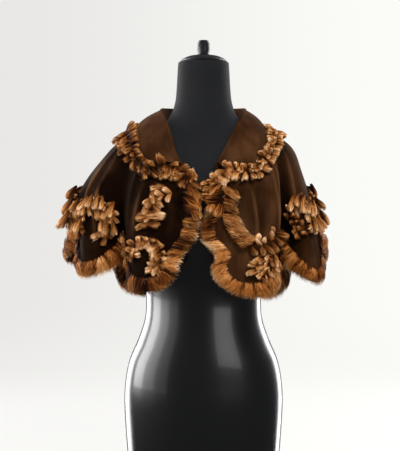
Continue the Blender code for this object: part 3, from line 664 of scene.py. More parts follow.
def front_shift(side: Side, angle: float, drop: float) -> float:
    """How far a place near a front edge is carried sideways to follow that edge.

    Args:
        side: the panel that the place is on.
        angle: its angle.
        drop: its drop.

    Returns:
        Degrees to add to its angle.
    """
    if side is Side.BACK:
        return 0.0
    tab = TABS[-1] if side is Side.LEFT else TABS[0]
    edge, other = (tab.end, tab.start) if side is Side.LEFT else (tab.start, tab.end)
    middle = (edge + other) / 2
    share = (angle - middle) / (edge - middle)
    if share <= 0:
        return 0.0
    return (edge_angle(side, drop) - edge) * float(smooth_step(np.array(share)))


def front_stations(side: Side, top: float, bottom: float, steps: int) -> list[HemStation]:
    """Stations down a front edge, with the fur's edge level with the suede's.

    Args:
        side: which front edge.
        top: the first drop.
        bottom: the last drop.
        steps: how many stations.

    Returns:
        The stations, from the top down.
    """
    found = []
    for drop in np.linspace(top, bottom, steps):
        angle = edge_angle(side, float(drop))
        reach = degrees_across(angle, float(drop), -side.value, BAND_WIDTH)
        found.append(HemStation(angle, float(drop), angle - side.value * reach, float(drop)))
    return found


def between(stations: list[HemStation], low: float, high: float) -> list[HemStation]:
    """The stations from one angle to another, with new ones put in at both.

    Args:
        stations: stations by angle.
        low: the first angle.
        high: the last angle.

    Returns:
        The stations, by angle.
    """
    angles = [s.angle for s in stations]
    rows = np.array(stations)
    ends = [HemStation(*(float(np.interp(a, angles, rows[:, k])) for k in range(4))) for a in (low, high)]
    inner = [s for s in stations if low + 0.3 < s.angle < high - 0.3]
    return [ends[0], *inner, ends[1]]


def arch_route(tab: Tab, arch: Arch) -> list[tuple[float, float]]:
    """A route that arches over a tab and runs down inside both its edges.

    Args:
        tab: the tab.
        arch: the arch's width and how far in its legs stand.

    Returns:
        (angle, drop) places along it.
    """
    stations = tab_stations(tab)
    first, last = stations[0], stations[-1]
    clear = arch.width / 2 + ARCH_EDGE
    low = first.angle + degrees_across(first.angle, first.drop, 1, clear) + arch.first
    high = last.angle - degrees_across(last.angle, last.drop, -1, clear) - arch.last
    middle, half = (low + high) / 2, (high - low) / 2
    ends = PLAIN_DRAPE.points(np.array([low, high]), np.array([first.drop, first.drop]))
    radius = drop_of(float(np.linalg.norm(ends[1] - ends[0])) / 2, middle, first.drop)
    foot = ARCH_RISE - min(radius, ARCH_RISE)
    shape = [(-0.95, -ARCH_FALL), (-1.0, foot / 2 - ARCH_FALL / 2)]
    shape += [(-math.cos(a), foot + (ARCH_RISE - foot) * math.sin(a)) for a in (0, math.pi / 4, math.pi / 2)]
    shape += [(-share, rise) for share, rise in shape[-2::-1]]
    return [(middle + half * share, (first.drop if share < 0 else last.drop) - rise) for share, rise in shape]


def cloth_place(points: np.ndarray, sides: np.ndarray) -> np.ndarray:
    """The angles and drops of the places on the cloth nearest to points.

    Args:
        points: points near the cloth.
        sides: the sign of the half that each belongs to, which picks the turn at the back.

    Returns:
        (angle, drop) for each point.
    """
    drops = np.linspace(0, 1.1, 56)
    found = []
    for point, side in zip(points, sides):
        rings = table_at(CLOTH_RINGS, drops)
        depth = rings[:, 3] if point[1] > 0 else rings[:, 2]
        angles = np.degrees(np.arctan2(point[0] / rings[:, 0], -point[1] / depth))
        gaps = np.linalg.norm(PLAIN_DRAPE.points(angles, drops) - point, axis=1)
        k = int(np.argmin(gaps))
        angle, drop, size = float(angles[k]), float(drops[k]), 1.5
        for _ in range(7):
            moves = np.array([(a, d) for a in (-1, 0, 1) for d in (-1, 0, 1)], float)
            tried_a = angle + moves[:, 0] * size
            tried_d = np.maximum(drop + moves[:, 1] * size * 0.012, 0.0)
            k = int(np.argmin(np.linalg.norm(PLAIN_DRAPE.points(tried_a, tried_d) - point, axis=1)))
            angle, drop, size = float(tried_a[k]), float(tried_d[k]), size * (0.55 if k == 4 else 0.9)
        if angle * side < -90:
            angle += side * 360
        if angle * side > 200:
            angle -= side * 360
        found.append((angle, drop))
    return np.array(found)


# Meshes

Body = tuple[np.ndarray, list[tuple[int, ...]]]


def shown(name: str, data: bpy.types.ID) -> bpy.types.Object:
    """A new object in the scene that shows the data."""
    made = bpy.data.objects.new(name, data)
    bpy.context.scene.collection.objects.link(made)
    return made


def add_object(name: str, points: np.ndarray, faces: Sequence[Sequence[int]]) -> bpy.types.Object:
    """A mesh object in the scene, shaded smooth.

    Args:
        name: the piece's name.
        points: its points.
        faces: its faces, as indices of points.

    Returns:
        The new object.
    """
    mesh = bpy.data.meshes.new(name)
    mesh.from_pydata(np.asarray(points, float).tolist(), [], [tuple(f) for f in faces])
    mesh.update()
    mesh.shade_smooth()
    return shown(name, mesh)


def grid_faces(columns: int, rows: int) -> list[tuple[int, int, int, int]]:
    """Quads of an open grid whose points run down each column in turn.

    Args:
        columns: how many columns.
        rows: points in each column.

    Returns:
        The quads, as indices of points.
    """
    return [
        (i * rows + j, i * rows + j + 1, (i + 1) * rows + j + 1, (i + 1) * rows + j)
        for i in range(columns - 1)
        for j in range(rows - 1)
    ]


def loft_faces(rings: int, sides: int) -> list[tuple[int, ...]]:
    """Faces of a closed body through rings of equal length, flat at both ends.

    Args:
        rings: how many rings.
        sides: points in each ring.

    Returns:
        The faces, as indices of points.
    """
    faces: list[tuple[int, ...]] = [tuple(range(sides))[::-1]]
    for k in range(rings - 1):
        low, high = k * sides, (k + 1) * sides
        faces += [(low + i, low + (i + 1) % sides, high + (i + 1) % sides, high + i) for i in range(sides)]
    faces.append(tuple(range((rings - 1) * sides, rings * sides)))
    return faces


def facing_out(made: bpy.types.Object) -> bpy.types.Object:
    """Turns the faces of a closed mesh outward.

    Args:
        made: the mesh's object.

    Returns:
        The same object.
    """
    points = np.array([v.co for v in made.data.vertices])
    volume = 0.0
    for face in made.data.polygons:
        corners = points[list(face.vertices)]
        for k in range(1, len(corners) - 1):
            volume += float(np.dot(corners[0], np.cross(corners[k], corners[k + 1])))
    if volume < 0:
        made.data.flip_normals()
    return made


def thickened(made: bpy.types.Object, wall: float) -> bpy.types.Object:
    """Gives a sheet its wall, half to each side.

    Args:
        made: the sheet.
        wall: the wall's thickness.

    Returns:
        The same object.
    """
    modifier = made.modifiers.new("wall", "SOLIDIFY")
    modifier.thickness = wall
    modifier.offset = 0
    modifier.use_quality_normals = True
    return made


# Shader maths


class Value:
    """A shader socket that takes arithmetic with other sockets and plain numbers."""

    def __init__(self, tree: bpy.types.NodeTree, socket: bpy.types.NodeSocket) -> None:
        """Keeps a socket and the node tree that it is in."""
        self.tree = tree
        self.socket = socket

    def _math(self, operation: str, *terms: "Value | float") -> "Value":
        """The result of a maths node.

        Args:
            operation: what the node does.
            terms: its inputs, in order.

        Returns:
            Its result.
        """
        node = self.tree.nodes.new("ShaderNodeMath")
        node.operation = operation
        for slot, term in zip(node.inputs, terms):
            if isinstance(term, Value):
                self.tree.links.new(term.socket, slot)
            else:
                slot.default_value = term
        return Value(self.tree, node.outputs[0])

    def __add__(self, other: "Value | float") -> "Value":
        """The sum with another value or a number."""
        return self._math("ADD", self, other)

    __radd__ = __add__

    def __sub__(self, other: "Value | float") -> "Value":
        """The difference from another value or a number."""
        return self._math("SUBTRACT", self, other)

    def __rsub__(self, other: float) -> "Value":
        """A number less the value, so that 1 - mask works."""
        return self._math("SUBTRACT", other, self)

    def __mul__(self, other: "Value | float") -> "Value":
        """The product with another value or a number."""
        return self._math("MULTIPLY", self, other)

    __rmul__ = __mul__

    def ramp(self, low: float, high: float) -> "Value":
        """A smooth ramp from 0 to 1.

        Args:
            low: where it is 0.
            high: where it is 1.

        Returns:
            The ramp's value.
        """
        node = self.tree.nodes.new("ShaderNodeMapRange")
        node.interpolation_type = "SMOOTHSTEP"
        self.tree.links.new(self.socket, node.inputs["Value"])
        node.inputs["From Min"].default_value = low
        node.inputs["From Max"].default_value = high
        return Value(self.tree, node.outputs[0])


Colour = tuple[float, float, float]
Tint = Colour | bpy.types.NodeSocket


class Finish:
    """A node-based material under construction, round one Principled shader."""

    def __init__(self, name: str) -> None:
        """Starts a material.

        Args:
            name: its name.
        """
        self.material = bpy.data.materials.new(name)
        self.material.use_nodes = True
        self.tree = self.material.node_tree
        self.shader = self.tree.nodes["Principled BSDF"]

    def constants(self, **values: float | Colour) -> "Finish":
        """Sets plain values on the shader, by the names of its inputs with _ for spaces."""
        for name, value in values.items():
            self.shader.inputs[name.replace("_", " ").title().replace("Ior", "IOR")].default_value = value
        return self

    def node(self, kind: str, settings: dict[str, object] | None = None, **inputs: object) -> bpy.types.Node:
        """A new node.

        Args:
            kind: its type.
            settings: its properties.
            inputs: values or sockets for its inputs, by their names with _ for spaces.

        Returns:
            The node.
        """
        made = self.tree.nodes.new(kind)
        for key, value in (settings or {}).items():
            setattr(made, key, value)
        for key, value in inputs.items():
            slot = made.inputs[key.replace("_", " ")]
            if isinstance(value, Value):
                self.tree.links.new(value.socket, slot)
            elif isinstance(value, bpy.types.NodeSocket):
                self.tree.links.new(value, slot)
            else:
                slot.default_value = value
        return made

    def _stretched(self, source: bpy.types.NodeSocket, stretch: Colour) -> bpy.types.NodeSocket:
        """A place multiplied along each axis.

        Args:
            source: the place.
            stretch: what each axis is multiplied by.

        Returns:
            The stretched place.
        """
        node = self.tree.nodes.new("ShaderNodeVectorMath")
        node.operation = "MULTIPLY"
        self.tree.links.new(source, node.inputs[0])
        node.inputs[1].default_value = stretch
        return node.outputs[0]

    def noise(self, scale: float, detail: float = 3.0, stretch: Colour | None = None) -> Value:
        """Noise from 0 to 1 over the object.

        Args:
            scale: how fine it is.
            detail: how many finer layers it has.
            stretch: what each axis is multiplied by first.

        Returns:
            The noise.
        """
        source = self.node("ShaderNodeTexCoord").outputs["Object"]
        if stretch:
            source = self._stretched(source, stretch)
        node = self.node("ShaderNodeTexNoise", Vector=source, Scale=scale, Detail=detail)
        return Value(self.tree, node.outputs["Fac"])

    def attribute(self, name: str) -> Value:
        """A value stored on the mesh."""
        node = self.node("ShaderNodeAttribute", {"attribute_name": name})
        return Value(self.tree, node.outputs["Fac"])

    def mixed(self, share: Value, low: Tint, high: Tint) -> bpy.types.NodeSocket:
        """Two colours mixed by a share.

        Args:
            share: 0 for the first colour and 1 for the second.
            low: the first colour.
            high: the second colour.

        Returns:
            The mixed colour.
        """
        node = self.tree.nodes.new("ShaderNodeMix")
        node.data_type = "RGBA"
        self.tree.links.new(share.socket, node.inputs[0])
        for slot, colour in ((node.inputs[6], low), (node.inputs[7], high)):
            if isinstance(colour, bpy.types.NodeSocket):
                self.tree.links.new(colour, slot)
            else:
                slot.default_value = (*colour, 1)
        return node.outputs[2]

    def feed(self, name: str, source: "Value | bpy.types.NodeSocket") -> "Finish":
        """Links what varies to an input of the shader."""
        self.tree.links.new(source.socket if isinstance(source, Value) else source, self.shader.inputs[name])
        return self

    def bumped(self, height: Value, strength: float, distance: float) -> "Finish":
        """Roughens the surface by a height."""
        node = self.node("ShaderNodeBump", Strength=strength, Distance=distance, Height=height)
        return self.feed("Normal", node.outputs["Normal"])


@dataclass(frozen=True)
class Suede:
    """Brushed suede: dark brown with a mottled nap, paler where rubbing has lightened it, with painted shade
    in fold troughs and painted light set for each whole piece.
    """

    # The darkest brown, also used for the painted shade in fold troughs and on shaded pieces
    deep: Colour = (0.0042, 0.0014, 0.0005)
    brown: Colour = (0.0330, 0.0125, 0.0044)
    # The pale rubbed colour, also used for the painted light on lit pieces
    worn_and_painted_light: Colour = (0.0860, 0.0370, 0.0150)

    def material(self, name: str, light: float = 0.0) -> bpy.types.Material:
        """Builds the material, which reads the mesh's stored attribute of nap rubbing and painted shade in
        fold troughs.

        Args:
            name: its name.
            light: painted light over the whole piece, about 0, and painted shade below 0.

        Returns:
            The material.
        """
        finish = Finish(name)
        cloud = finish.noise(11.0, 5.0)
        streak = finish.noise(34.0, 3.0, (1.0, 1.0, 0.10))
        fine = finish.noise(420.0, 2.0)
        wear_and_painted_shade = finish.attribute("wear_and_painted_shade")
        # The nap's mottling, plus painted light from the piece's light and painted shade from the stored fold
        # troughs
        nap = cloud * 0.9 + streak * 0.7 + wear_and_painted_shade * 0.35 + (light * 0.16 - 0.30)
        base = finish.mixed(nap.ramp(0.20, 0.80), self.deep, self.brown)
        # The paler rubbed parts, pushed up or down by the same painted light and painted shade
        paler = cloud * 0.6 + streak * 0.6 + fine * 0.15 + wear_and_painted_shade * 0.50 + (light * 0.10 - 0.19)
        finish.feed("Base Color", finish.mixed(paler.ramp(0.50, 1.00), base, self.worn_and_painted_light))
        finish.constants(roughness=0.95, sheen_weight=0.05, sheen_roughness=0.5, specular_ior_level=0.05)
        finish.shader.inputs["Sheen Tint"].default_value = (0.75, 0.42, 0.22, 1)
        finish.bumped(fine * 0.6 + streak * 0.4, 0.35, 0.0006)
        return finish.material


@dataclass(frozen=True)
class Fur:
    """Fur hair that goes from a dark root over reddish brown and gold to a pale tip.

    The mesh stores each hair's shade along its length and a tone from 0, dark, to 1; both also carry painted
    light and shade.
    """

    root: Colour = (0.0100, 0.0030, 0.0008)
    red: Colour = (0.2150, 0.0560, 0.0090)
    gold: Colour = (0.4900, 0.1900, 0.0440)
    tip: Colour = (0.8400, 0.5300, 0.2900)

    def material(self, name: str) -> bpy.types.Material:
        """Builds the material.

        Args:
            name: its name.

        Returns:
            The material.
        """
        finish = Finish(name)
        shade = finish.attribute("shade")
        tone = finish.attribute("tone")
        colour = finish.mixed(shade.ramp(0.02, 0.40), self.root, self.red)
        colour = finish.mixed(shade.ramp(0.34, 0.68), colour, self.gold)
        colour = finish.mixed(shade.ramp(0.70, 1.00), colour, self.tip)
        finish.feed("Base Color", finish.mixed(tone.ramp(0.0, 0.75), self.root, colour))
        finish.constants(roughness=0.65, specular_ior_level=0.10)
        return finish.material


@dataclass(frozen=True)
class GlossBlack:
    """Polished black, with the faint ripple of a moulded shell."""

    colour: Colour = (0.0022, 0.0025, 0.0030)

    def material(self, name: str) -> bpy.types.Material:
        """Builds the material.

        Args:
            name: its name.

        Returns:
            The material.
        """
        finish = Finish(name)
        ripple = finish.noise(4.0, 2.0)
        finish.feed("Base Color", finish.mixed(ripple, self.colour, tuple(c * 1.25 for c in self.colour)))
        finish.constants(roughness=0.27, specular_ior_level=0.60, coat_weight=0.30, coat_roughness=0.05)
        finish.bumped(ripple, 0.05, 0.002)
        return finish.material


@dataclass(frozen=True)
class Jersey:
    """A matte dark cover with a fine knit."""

    low: Colour = (0.0085, 0.0088, 0.0098)
    high: Colour = (0.0140, 0.0145, 0.0160)

    def material(self, name: str) -> bpy.types.Material:
        """Builds the material.

        Args:
            name: its name.

        Returns:
            The material.
        """
        finish = Finish(name)
        source = finish.node("ShaderNodeTexCoord").outputs["Object"]
        level = {"wave_type": "BANDS", "bands_direction": "Z"}
        knit = finish.node("ShaderNodeTexWave", level, Vector=source, Scale=320.0)
        rows = Value(finish.tree, knit.outputs["Fac"])
        cloud = finish.noise(12.0, 3.0)
        uneven = (rows * 0.3 + cloud * 0.8).ramp(0.1, 1.0)
        finish.feed("Base Color", finish.mixed(uneven, self.low, self.high))
        finish.constants(roughness=0.88, sheen_weight=0.06, sheen_roughness=0.5, specular_ior_level=0.15)
        finish.bumped(rows * 0.5 + cloud * 0.5, 0.25, 0.0005)
        return finish.material


@dataclass(frozen=True)
class Plain:
    """A simple moulded or woven finish with a faint grain."""

    colour: Colour
    roughness: float
    grain: float = 160.0

    def material(self, name: str) -> bpy.types.Material:
        """Builds the material.

        Args:
            name: its name.

        Returns:
            The material.
        """
        finish = Finish(name)
        grain = finish.noise(self.grain, 2.0)
        finish.feed("Base Color", finish.mixed(grain, self.colour, tuple(c * 1.4 for c in self.colour)))
        finish.constants(roughness=self.roughness)
        finish.bumped(grain, 0.15, 0.0004)
        return finish.material


# Fur hair


class Coat(NamedTuple):
    """Hairs as paths, with what colours them.

    Attributes:
        paths: (hairs, levels, 3) points from root to tip.
        flats: (hairs, levels, 3) unit vectors across each ribbon.
        widths: (hairs,) ribbon widths at their middle.
        tones: (hairs,) from 0, dark, to 1, with painted light and shade in them.
        shades: (hairs, levels) place in the fur's colours, from 0 at a root to 1 at a pale tip, with painted
            shade in them too.
    """

    paths: np.ndarray
    flats: np.ndarray
    widths: np.ndarray
    tones: np.ndarray
    shades: np.ndarray

    def with_levels(self, levels: int) -> "Coat":
        """The same hairs with another number of points along each.

        Args:
            levels: how many points.

        Returns:
            The coat.
        """
        old = self.paths.shape[1]
        if old == levels:
            return self
        at = np.linspace(0, old - 1, levels)
        low = np.minimum(at.astype(int), old - 2)
        share = at - low
        mixed = []
        for values in (self.paths, self.flats, self.shades):
            part = share[:, None] if values.ndim == 3 else share
            mixed.append(values[:, low] + (values[:, low + 1] - values[:, low]) * part)
        return Coat(mixed[0], mixed[1], self.widths, self.tones, mixed[2])


# How the long hair is lumped, the tufts at the top of the front bands, and the painted light on each band:
# painted shade on the front and left bands, a little painted light on the back one
LUMP_PITCH = 0.026
BLOBS_DOWN_TO = 0.42
BLOB_SIZE = (0.0320, 0.0250)
BAND_PAINTED_LIGHT = {"front_fur_left": -0.36, "front_fur_right": -0.20, "hem_fur_left": -0.10, "hem_fur_back": 0.04}


class Tufting(Enum):
    """The ways in which a strip is tufted."""

    FILLER = "filler"
    PETALS = "petals"
    ROPE = "rope"
    BALLS_FIRST = "balls first"
    SPIKES = "spikes"
    SMALL = "small"


class Pile(NamedTuple):
    """Tufts at a share of a strip's length: their size, and degrees of their turn and of chance."""

    share: float
    length: float
    width: float
    turn: float
    chance: float


PILES = {
    Tufting.FILLER: [Pile(0.0, 0.0260, 0.0120, 62, 34), Pile(1.0, 0.0260, 0.0120, 62, 34)],
    Tufting.PETALS: [Pile(0.0, 0.0300, 0.0135, 66, 30), Pile(1.0, 0.0330, 0.0140, 60, 34)],
    Tufting.ROPE: [
        Pile(0.0, 0.0280, 0.0150, 80, 26), Pile(0.14, 0.0240, 0.0130, 78, 20),
        Pile(0.62, 0.0260, 0.0125, 66, 22), Pile(1.0, 0.0330, 0.0135, 60, 28),
    ],
    Tufting.BALLS_FIRST: [
        Pile(0.0, 0.0155, 0.0125, 70, 60), Pile(0.32, 0.0155, 0.0125, 70, 60),
        Pile(0.46, 0.0280, 0.0130, 62, 30), Pile(1.0, 0.0320, 0.0130, 60, 28),
    ],
    Tufting.SPIKES: [Pile(0.0, 0.0230, 0.0095, 60, 22), Pile(1.0, 0.0230, 0.0095, 45, 22)],
    Tufting.SMALL: [Pile(0.0, 0.0230, 0.0118, 66, 34), Pile(1.0, 0.0230, 0.0118, 66, 34)],
}
PILE_OF = {
    "loops_front_left": Tufting.PETALS,
    "loops_front_right": Tufting.ROPE,
    "loops_1_left": Tufting.SMALL,
    "loops_1_right": Tufting.SPIKES,
    "loops_front_2_right": Tufting.BALLS_FIRST,
}
TUFT_ROWS = {Tufting.SPIKES: 0.0105, Tufting.PETALS: 0.0170}
ROPE_START = 0.10
ROPE_END = 0.66
ROPE_HEIGHT = 0.019
BUNCH_STEP = 0.031
BUNCH_PITCH = 0.0102
BUNCH_SIZE = (0.0400, 0.0125)
BUNCH_FROM = {"loops_front_2_right": 0.42}


@dataclass
class Barber:
    """Grows hair for the fur trims.

    Attributes:
        rng: the source of everything that is left to chance.
        levels: points along each long hair.
        tuft_levels: points along each hair of a tuft.
        hairs_per_tuft: how many show on a tuft.
    """

    rng: np.random.Generator
    levels: int = 5
    tuft_levels: int = 6
    hairs_per_tuft: int = 48

    def tufts(
        self, roots: np.ndarray, ways: np.ndarray, ups: np.ndarray, sizes: np.ndarray, tones: np.ndarray
    ) -> Coat:
        """Plump tufts like fingers, whose hairs run over a rounded body and close over its tip.

        Args:
            roots: (tufts, 3) where each starts.
            ways: (tufts, 3) directions in which each points.
            ups: (tufts, 3) directions away from the cloth.
            sizes: (tufts, 2) lengths and widths.
            tones: (tufts,) how light each is, about 0.

        Returns:
            The hairs.
        """
        rng, count, hairs = self.rng, len(roots), self.hairs_per_tuft
        ways = unit(ways)
        sides = unit(np.cross(ways, ups))
        ups = unit(np.cross(sides, ways))
        t = 1 - (1 - np.linspace(0, 1, self.tuft_levels)[None, None, :]) ** 1.7
        turn = np.radians(rng.uniform(-65, 245, (count, hairs, 1)))
        shell = rng.uniform(0.62, 1.04, (count, hairs, 1))
        loose = (rng.uniform(size=(count, hairs, 1)) < 0.12).astype(float)
        shoulder = rng.uniform(0.64, 0.80, (count, 1, 1))
        body = 0.48 + 0.52 * smooth_step(t / (0.85 * shoulder))
        dome = np.sqrt(np.clip(1 - (np.clip(t - shoulder, 0, 1) / (1.02 - shoulder)) ** 2.4, 0, 1))
        round_by = body * (dome * (1 - loose) + np.maximum(dome, 0.75) * loose) * shell
        reach = rng.uniform(0.93, 1.00, (count, hairs, 1)) + 0.06 * loose
        length, width = sizes[:, 0, None, None], sizes[:, 1, None, None]
        curl = rng.normal(0, 0.16, (count, 1, 1)) * t**2 * length
        hang = rng.uniform(-0.06, 0.16, (count, 1, 1)) * t**2 * length
        stray = rng.normal(0, 1, (2, count, hairs, 1)) * (0.0004 + 0.0018 * loose) * t**2
        wave = 0.0005 * np.sin(9 * t + turn * 2)
        along = length * reach * t
        across = width / 2 * round_by * np.cos(turn) + curl + stray[0] + wave
        rise = width * 0.43 * (0.85 + round_by * np.sin(turn)) - hang + stray[1]
        paths = (
            roots[:, None, None, :]
            + ways[:, None, None, :] * along[..., None]
            + sides[:, None, None, :] * across[..., None]
            + ups[:, None, None, :] * rise[..., None]
        )
        roll = turn + np.pi / 2 + rng.normal(0, 0.45, (count, hairs, 1))
        flats = sides[:, None, :] * np.cos(roll) + ups[:, None, :] * np.sin(roll)
        flats = np.broadcast_to(flats[:, :, None, :], paths.shape)
        # Painted light on the hairs over the top of each tuft, painted shade on those under it
        crown = 0.5 + 0.5 * np.sin(turn)
        shades = 0.08 + 0.40 * smooth_step(t / 0.50) + 0.40 * smooth_step((t - 0.55) / 0.45)
        shades = shades + tones[:, None, None]
        shades = shades + rng.normal(0, 0.10, (count, hairs, 1)) + 0.10 * loose - 0.22 * (1 - crown)
        lights = 0.66 + 1.1 * tones[:, None] + 0.22 * crown[..., 0] + rng.normal(0, 0.15, (count, hairs))
        shape = (count * hairs, self.tuft_levels)
        widths = (rng.uniform(0.0010, 0.0016, (count, hairs)) * (1 - 0.45 * loose[..., 0])).ravel()
        return Coat(
            paths.reshape(*shape, 3), flats.reshape(*shape, 3), widths, np.clip(lights, 0.08, 1).ravel(),
            np.clip(shades, 0, 1).reshape(shape),
        )

    def band(self, stations: np.ndarray, height: float, per_mm: float, clump: float) -> Coat:
        """Long hair across a band, from over its sewn edge across its crown to the tips.

        Args:
            stations: rows of angle, drop, fur angle and fur drop along the band.
            height: of the band's crown over the cloth.
            per_mm: hairs for each millimetre of its length.
            clump: metres from one clump of tips to the next.

        Returns:
            The hairs.
        """
        rng = self.rng
        middles = PLAIN_DRAPE.points(stations[:, [0, 2]].mean(1), stations[:, [1, 3]].mean(1))
        lengths = lengths_along(middles)
        count = int(lengths[-1] * 1000 * per_mm)
        at = np.sort(rng.uniform(0, lengths[-1], count))
        lumps = max(2, round(lengths[-1] / LUMP_PITCH))
        edges = np.linspace(0, lengths[-1], lumps + 1)
        edges[1:-1] += rng.normal(0, 0.12 * LUMP_PITCH, lumps - 1)
        lump = np.clip(np.searchsorted(edges, at) - 1, 0, lumps - 1)
        off = (at - edges[lump]) / (edges[lump + 1] - edges[lump]) * 2 - 1
        dome = np.sqrt(np.clip(1 - 0.9 * off**2, 0, 1))
        lump_tilt = rng.normal(0, 0.0050, lumps)[lump]
        lump_size = rng.uniform(0.74, 1.08, lumps)[lump] * (0.70 + 0.30 * dome)
        lump_reach = rng.uniform(0.86, 1.02, lumps)[lump][:, None]
        # Each lump has its own tone, plus painted shade toward its ends where the lumps meet
        lump_tone_and_shade = rng.normal(0, 0.13, lumps)[lump] + 0.55 * (dome - 0.8)
        nearest = (np.floor(at / clump) + 0.5) * clump + rng.normal(0, 0.14 * clump, count)
        to = at + (nearest - at) * rng.uniform(0.1, 0.85, count) + lump_tilt + off * 0.0042
        t = np.linspace(0, 1, self.levels)[None, :]
        place = at[:, None] + (to - at)[:, None] * t**1.2
        place = place + rng.normal(0, 0.0036, (count, 1)) * t**1.5
        place = place + 0.0007 * np.sin(8 * t + nearest[:, None] * 900)
        place = np.clip(place, 0, lengths[-1])
        rows = [np.interp(place, lengths, stations[:, k]) for k in range(4)]
        fringe = rng.uniform(size=(count, 1)) < 0.16
        short = (rng.uniform(size=(count, 1)) < 0.35) & ~fringe
        start = np.where(fringe, rng.uniform(0.45, 0.75, (count, 1)), rng.uniform(-0.12, 0.46, (count, 1)))
        end = rng.uniform(0.82, 0.98, (count, 1)) * (0.88 + 0.13 * dome[:, None]) * lump_reach
        end += 0.05 * np.sin(at / clump * 2 * np.pi + 1.3)[:, None]
        end = np.where(short, start + rng.uniform(0.30, 0.6, (count, 1)), end)
        end = np.where(fringe, rng.uniform(0.98, 1.18, (count, 1)) * lump_reach, end)
        across = start + (end - start) * t
        top = rng.choice([1.0, -0.7], (count, 1), p=[0.68, 0.32])
        lift = rng.uniform(0.62, 1.08, (count, 1)) * top * (0.36 + 0.74 * dome[:, None]) * lump_size[:, None]
        profile = np.sin(np.pi * np.clip(0.24 + 0.72 * np.clip(across, -0.18, 1.3), 0, 0.97)) ** 0.70
        angles = rows[0] + (rows[2] - rows[0]) * across
        drops = np.maximum(rows[1] + (rows[3] - rows[1]) * across, 0.0)
        normals = PLAIN_DRAPE.normals(angles.ravel(), drops.ravel()).reshape(*angles.shape, 3)
        over = 0.0014 * (top > 0) + height * lift * profile
        paths = PLAIN_DRAPE.points(angles, drops) + normals * over[..., None]
        paths[..., 2] -= 0.0022 * t**2
        flats = unit(np.cross(np.gradient(paths, axis=1), normals))
        roll = rng.normal(0, 0.40, (count, 1, 1))
        flats = flats * np.cos(roll) + normals * np.sin(roll)
        edge = np.interp(across, [-0.18, 0.12, 0.45, 0.75, 0.95, 1.15], [0.74, 0.66, 0.44, 0.50, 0.82, 1.0])
        shades = edge - 0.30 * (1 - t) ** 3 + rng.normal(0, 0.09, (count, 1)) + lump_tone_and_shade[:, None]
        tones = 0.70 + 0.18 * np.sin(at / clump * 2 * np.pi) + lump_tone_and_shade * 1.4 + rng.normal(0, 0.16, count)
        # Painted shade on hairs that lie low on the band or under it
        tones = tones * (0.62 + 0.38 * np.clip(np.abs(lift[:, 0]), 0, 1))
        widths = rng.uniform(0.0007, 0.0013, count) * np.where(fringe[:, 0], 0.55, 1.0)
        return Coat(paths, flats, widths, np.clip(tones, 0.1, 1), np.clip(shades, 0, 1))


def bunched(rng: np.random.Generator, count: int, size: int = 3) -> np.ndarray:
    """One normal chance for each bunch of neighbours, repeated for all its members."""
    return np.repeat(rng.normal(0, 1, count // size + 2), size)[int(rng.integers(size)) :][:count]


def joined(coats: Sequence[Coat]) -> Coat:
    """One coat from several, whose hairs get the same number of points."""
    levels = max(coat.paths.shape[1] for coat in coats)
    evened = [coat.with_levels(levels) for coat in coats]
    return Coat(*(np.concatenate(values) for values in zip(*evened)))


def fur_object(name: str, coat: Coat, core: Body, finish: bpy.types.Material) -> bpy.types.Object:
    """A fur trim as one mesh: its dark core and its hairs as tapered ribbons.

    Args:
        name: the piece's name.
        coat: its hairs.
        core: the points and faces of the body under the hair.
        finish: its material, which reads the attributes shade and tone.

    Returns:
        The new object.
    """
    hairs, levels = coat.paths.shape[:2]
    taper = np.sin(np.pi * (0.30 + 0.62 * np.linspace(0, 1, levels)[:-1])) ** 0.5
    half = coat.flats[:, :-1] * (coat.widths[:, None] * taper / 2)[..., None]
    left, right = coat.paths[:, :-1] - half, coat.paths[:, :-1] + half
    per_hair = 2 * (levels - 1) + 1
    points = np.empty((hairs, per_hair, 3))
    points[:, 0:-1:2], points[:, 1:-1:2], points[:, -1] = left, right, coat.paths[:, -1]
    starts = (np.arange(hairs) * per_hair)[:, None]
    quads = np.concatenate(
        [starts + np.array([[2 * k, 2 * k + 1, 2 * k + 3, 2 * k + 2]]) for k in range(levels - 2)]
    )
    tips = starts + np.array([[per_hair - 3, per_hair - 2, per_hair - 1]])
    core_points, core_faces = core
    base = hairs * per_hair
    all_points = np.concatenate([points.reshape(-1, 3), core_points])
    corners = np.concatenate([quads.ravel(), tips.ravel(), *[np.array(f) + base for f in core_faces]])
    sizes = np.concatenate([np.full(len(quads), 4), np.full(len(tips), 3), [len(f) for f in core_faces]])
    mesh = bpy.data.meshes.new(name)
    mesh.vertices.add(len(all_points))
    mesh.vertices.foreach_set("co", all_points.ravel())
    mesh.loops.add(len(corners))
    mesh.loops.foreach_set("vertex_index", corners.astype(np.int32))
    mesh.polygons.add(len(sizes))
    mesh.polygons.foreach_set("loop_start", np.concatenate([[0], np.cumsum(sizes)[:-1]]).astype(np.int32))
    mesh.update(calc_edges=True)
    mesh.validate()
    mesh.shade_smooth()
    shade = np.concatenate([np.repeat(coat.shades[:, :-1], 2, axis=1), coat.shades[:, -1:]], axis=1)
    # The core takes a near-root colour: its dark underfur, with painted shade in the gaps between the tufts
    shade = np.concatenate([shade.ravel(), np.full(len(core_points), 0.12)])
    tone = np.concatenate([np.repeat(coat.tones, per_hair), np.full(len(core_points), 0.3)])
    for key, values in (("shade", shade), ("tone", tone)):
        stored = mesh.attributes.new(key, "FLOAT", "POINT")
        stored.data.foreach_set("value", values.astype(np.float32))
    mesh.materials.append(finish)
    return shown(name, mesh)


def dress(made: bpy.types.Object, slot: Slot, *nodes: str) -> bpy.types.Object:
    """Puts a piece on the frame in place of CAD nodes.

    Args:
        made: the piece.
        slot: not used.
        nodes: the CAD nodes that it stands for.

    Returns:
        The piece.
    """
    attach(made, "root")
    if nodes:
        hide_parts(*nodes)
    size = len(made.data.polygons) if made.type == "MESH" else len(made.data.splines)
    LOG.info("%s: %d faces or curves", made.name, size)
    return made


# The dress form


